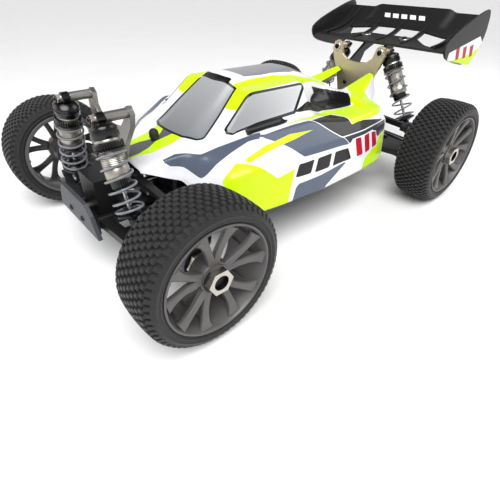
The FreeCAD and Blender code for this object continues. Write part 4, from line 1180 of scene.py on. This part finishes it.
class BUGGY_OT_rims(bpy.types.Operator):
    """Build the four dish wheels"""
    bl_idname = "buggy.rims"
    bl_label = "Wheels"

    def execute(self, context):
        for corner in CORNERS:
            build_rim(corner, context.scene.buggy_wheel)
        return {"FINISHED"}


class BUGGY_OT_shocks(bpy.types.Operator):
    """Build the four shocks with their springs"""
    bl_idname = "buggy.shocks"
    bl_label = "Shocks"

    def execute(self, context):
        for corner in CORNERS:
            build_shock(corner, context.scene.buggy_shock)
        return {"FINISHED"}


class BUGGY_OT_wing(bpy.types.Operator):
    """Build the rear wing"""
    bl_idname = "buggy.wing"
    bl_label = "Rear wing"

    def execute(self, context):
        build_wing()
        return {"FINISHED"}


class BUGGY_OT_running_gear(bpy.types.Operator):
    """Finish the arms, hubs, towers, plate and the parts under the shell"""
    bl_idname = "buggy.running_gear"
    bl_label = "Running gear"

    def execute(self, context):
        dress_cad()
        return {"FINISHED"}


class BUGGY_OT_screws(bpy.types.Operator):
    """Build the screws, nuts and washers"""
    bl_idname = "buggy.screws"
    bl_label = "Screws"

    def execute(self, context):
        build_posts()
        build_screws()
        return {"FINISHED"}


class BUGGY_OT_stage(bpy.types.Operator):
    """Set the camera, the floor and the light"""
    bl_idname = "buggy.stage"
    bl_label = "Stage"

    def execute(self, context):
        build_stage(context.scene.buggy_stage)
        return {"FINISHED"}


OPERATORS = (BUGGY_OT_shell, BUGGY_OT_tyres, BUGGY_OT_rims, BUGGY_OT_shocks, BUGGY_OT_wing,
             BUGGY_OT_running_gear, BUGGY_OT_screws, BUGGY_OT_stage)
SETTINGS = {"buggy_paint": BuggyPaint, "buggy_shell": BuggyShell, "buggy_tyre": BuggyTyre,
            "buggy_wheel": BuggyWheel, "buggy_shock": BuggyShock, "buggy_stage": BuggyStage}


class BUGGY_PT_panel(bpy.types.Panel):
    """Lists the buggy's pieces and their settings"""
    bl_idname = "BUGGY_PT_panel"
    bl_label = "RC buggy"
    bl_space_type = "VIEW_3D"
    bl_region_type = "UI"
    bl_category = "Buggy"

    def draw(self, context):
        for operator in OPERATORS:
            self.layout.operator(operator.bl_idname)
        for name, group in SETTINGS.items():
            box = self.layout.box()
            for key in group.__annotations__:
                box.prop(getattr(context.scene, name), key)


CLASSES = (*SETTINGS.values(), *OPERATORS, BUGGY_PT_panel)


def register():
    for cls in CLASSES:
        bpy.utils.register_class(cls)
    for name, group in SETTINGS.items():
        setattr(bpy.types.Scene, name, PointerProperty(type=group))


def unregister():
    for name in SETTINGS:
        delattr(bpy.types.Scene, name)
    for cls in reversed(CLASSES):
        bpy.utils.unregister_class(cls)


def main():
    register()
    bpy.ops.buggy.shell()
    bpy.ops.buggy.tyres()
    bpy.ops.buggy.rims()
    bpy.ops.buggy.shocks()
    bpy.ops.buggy.wing()
    bpy.ops.buggy.running_gear()
    bpy.ops.buggy.screws()
    bpy.ops.buggy.stage()


if __name__ == "__main__":
    main()
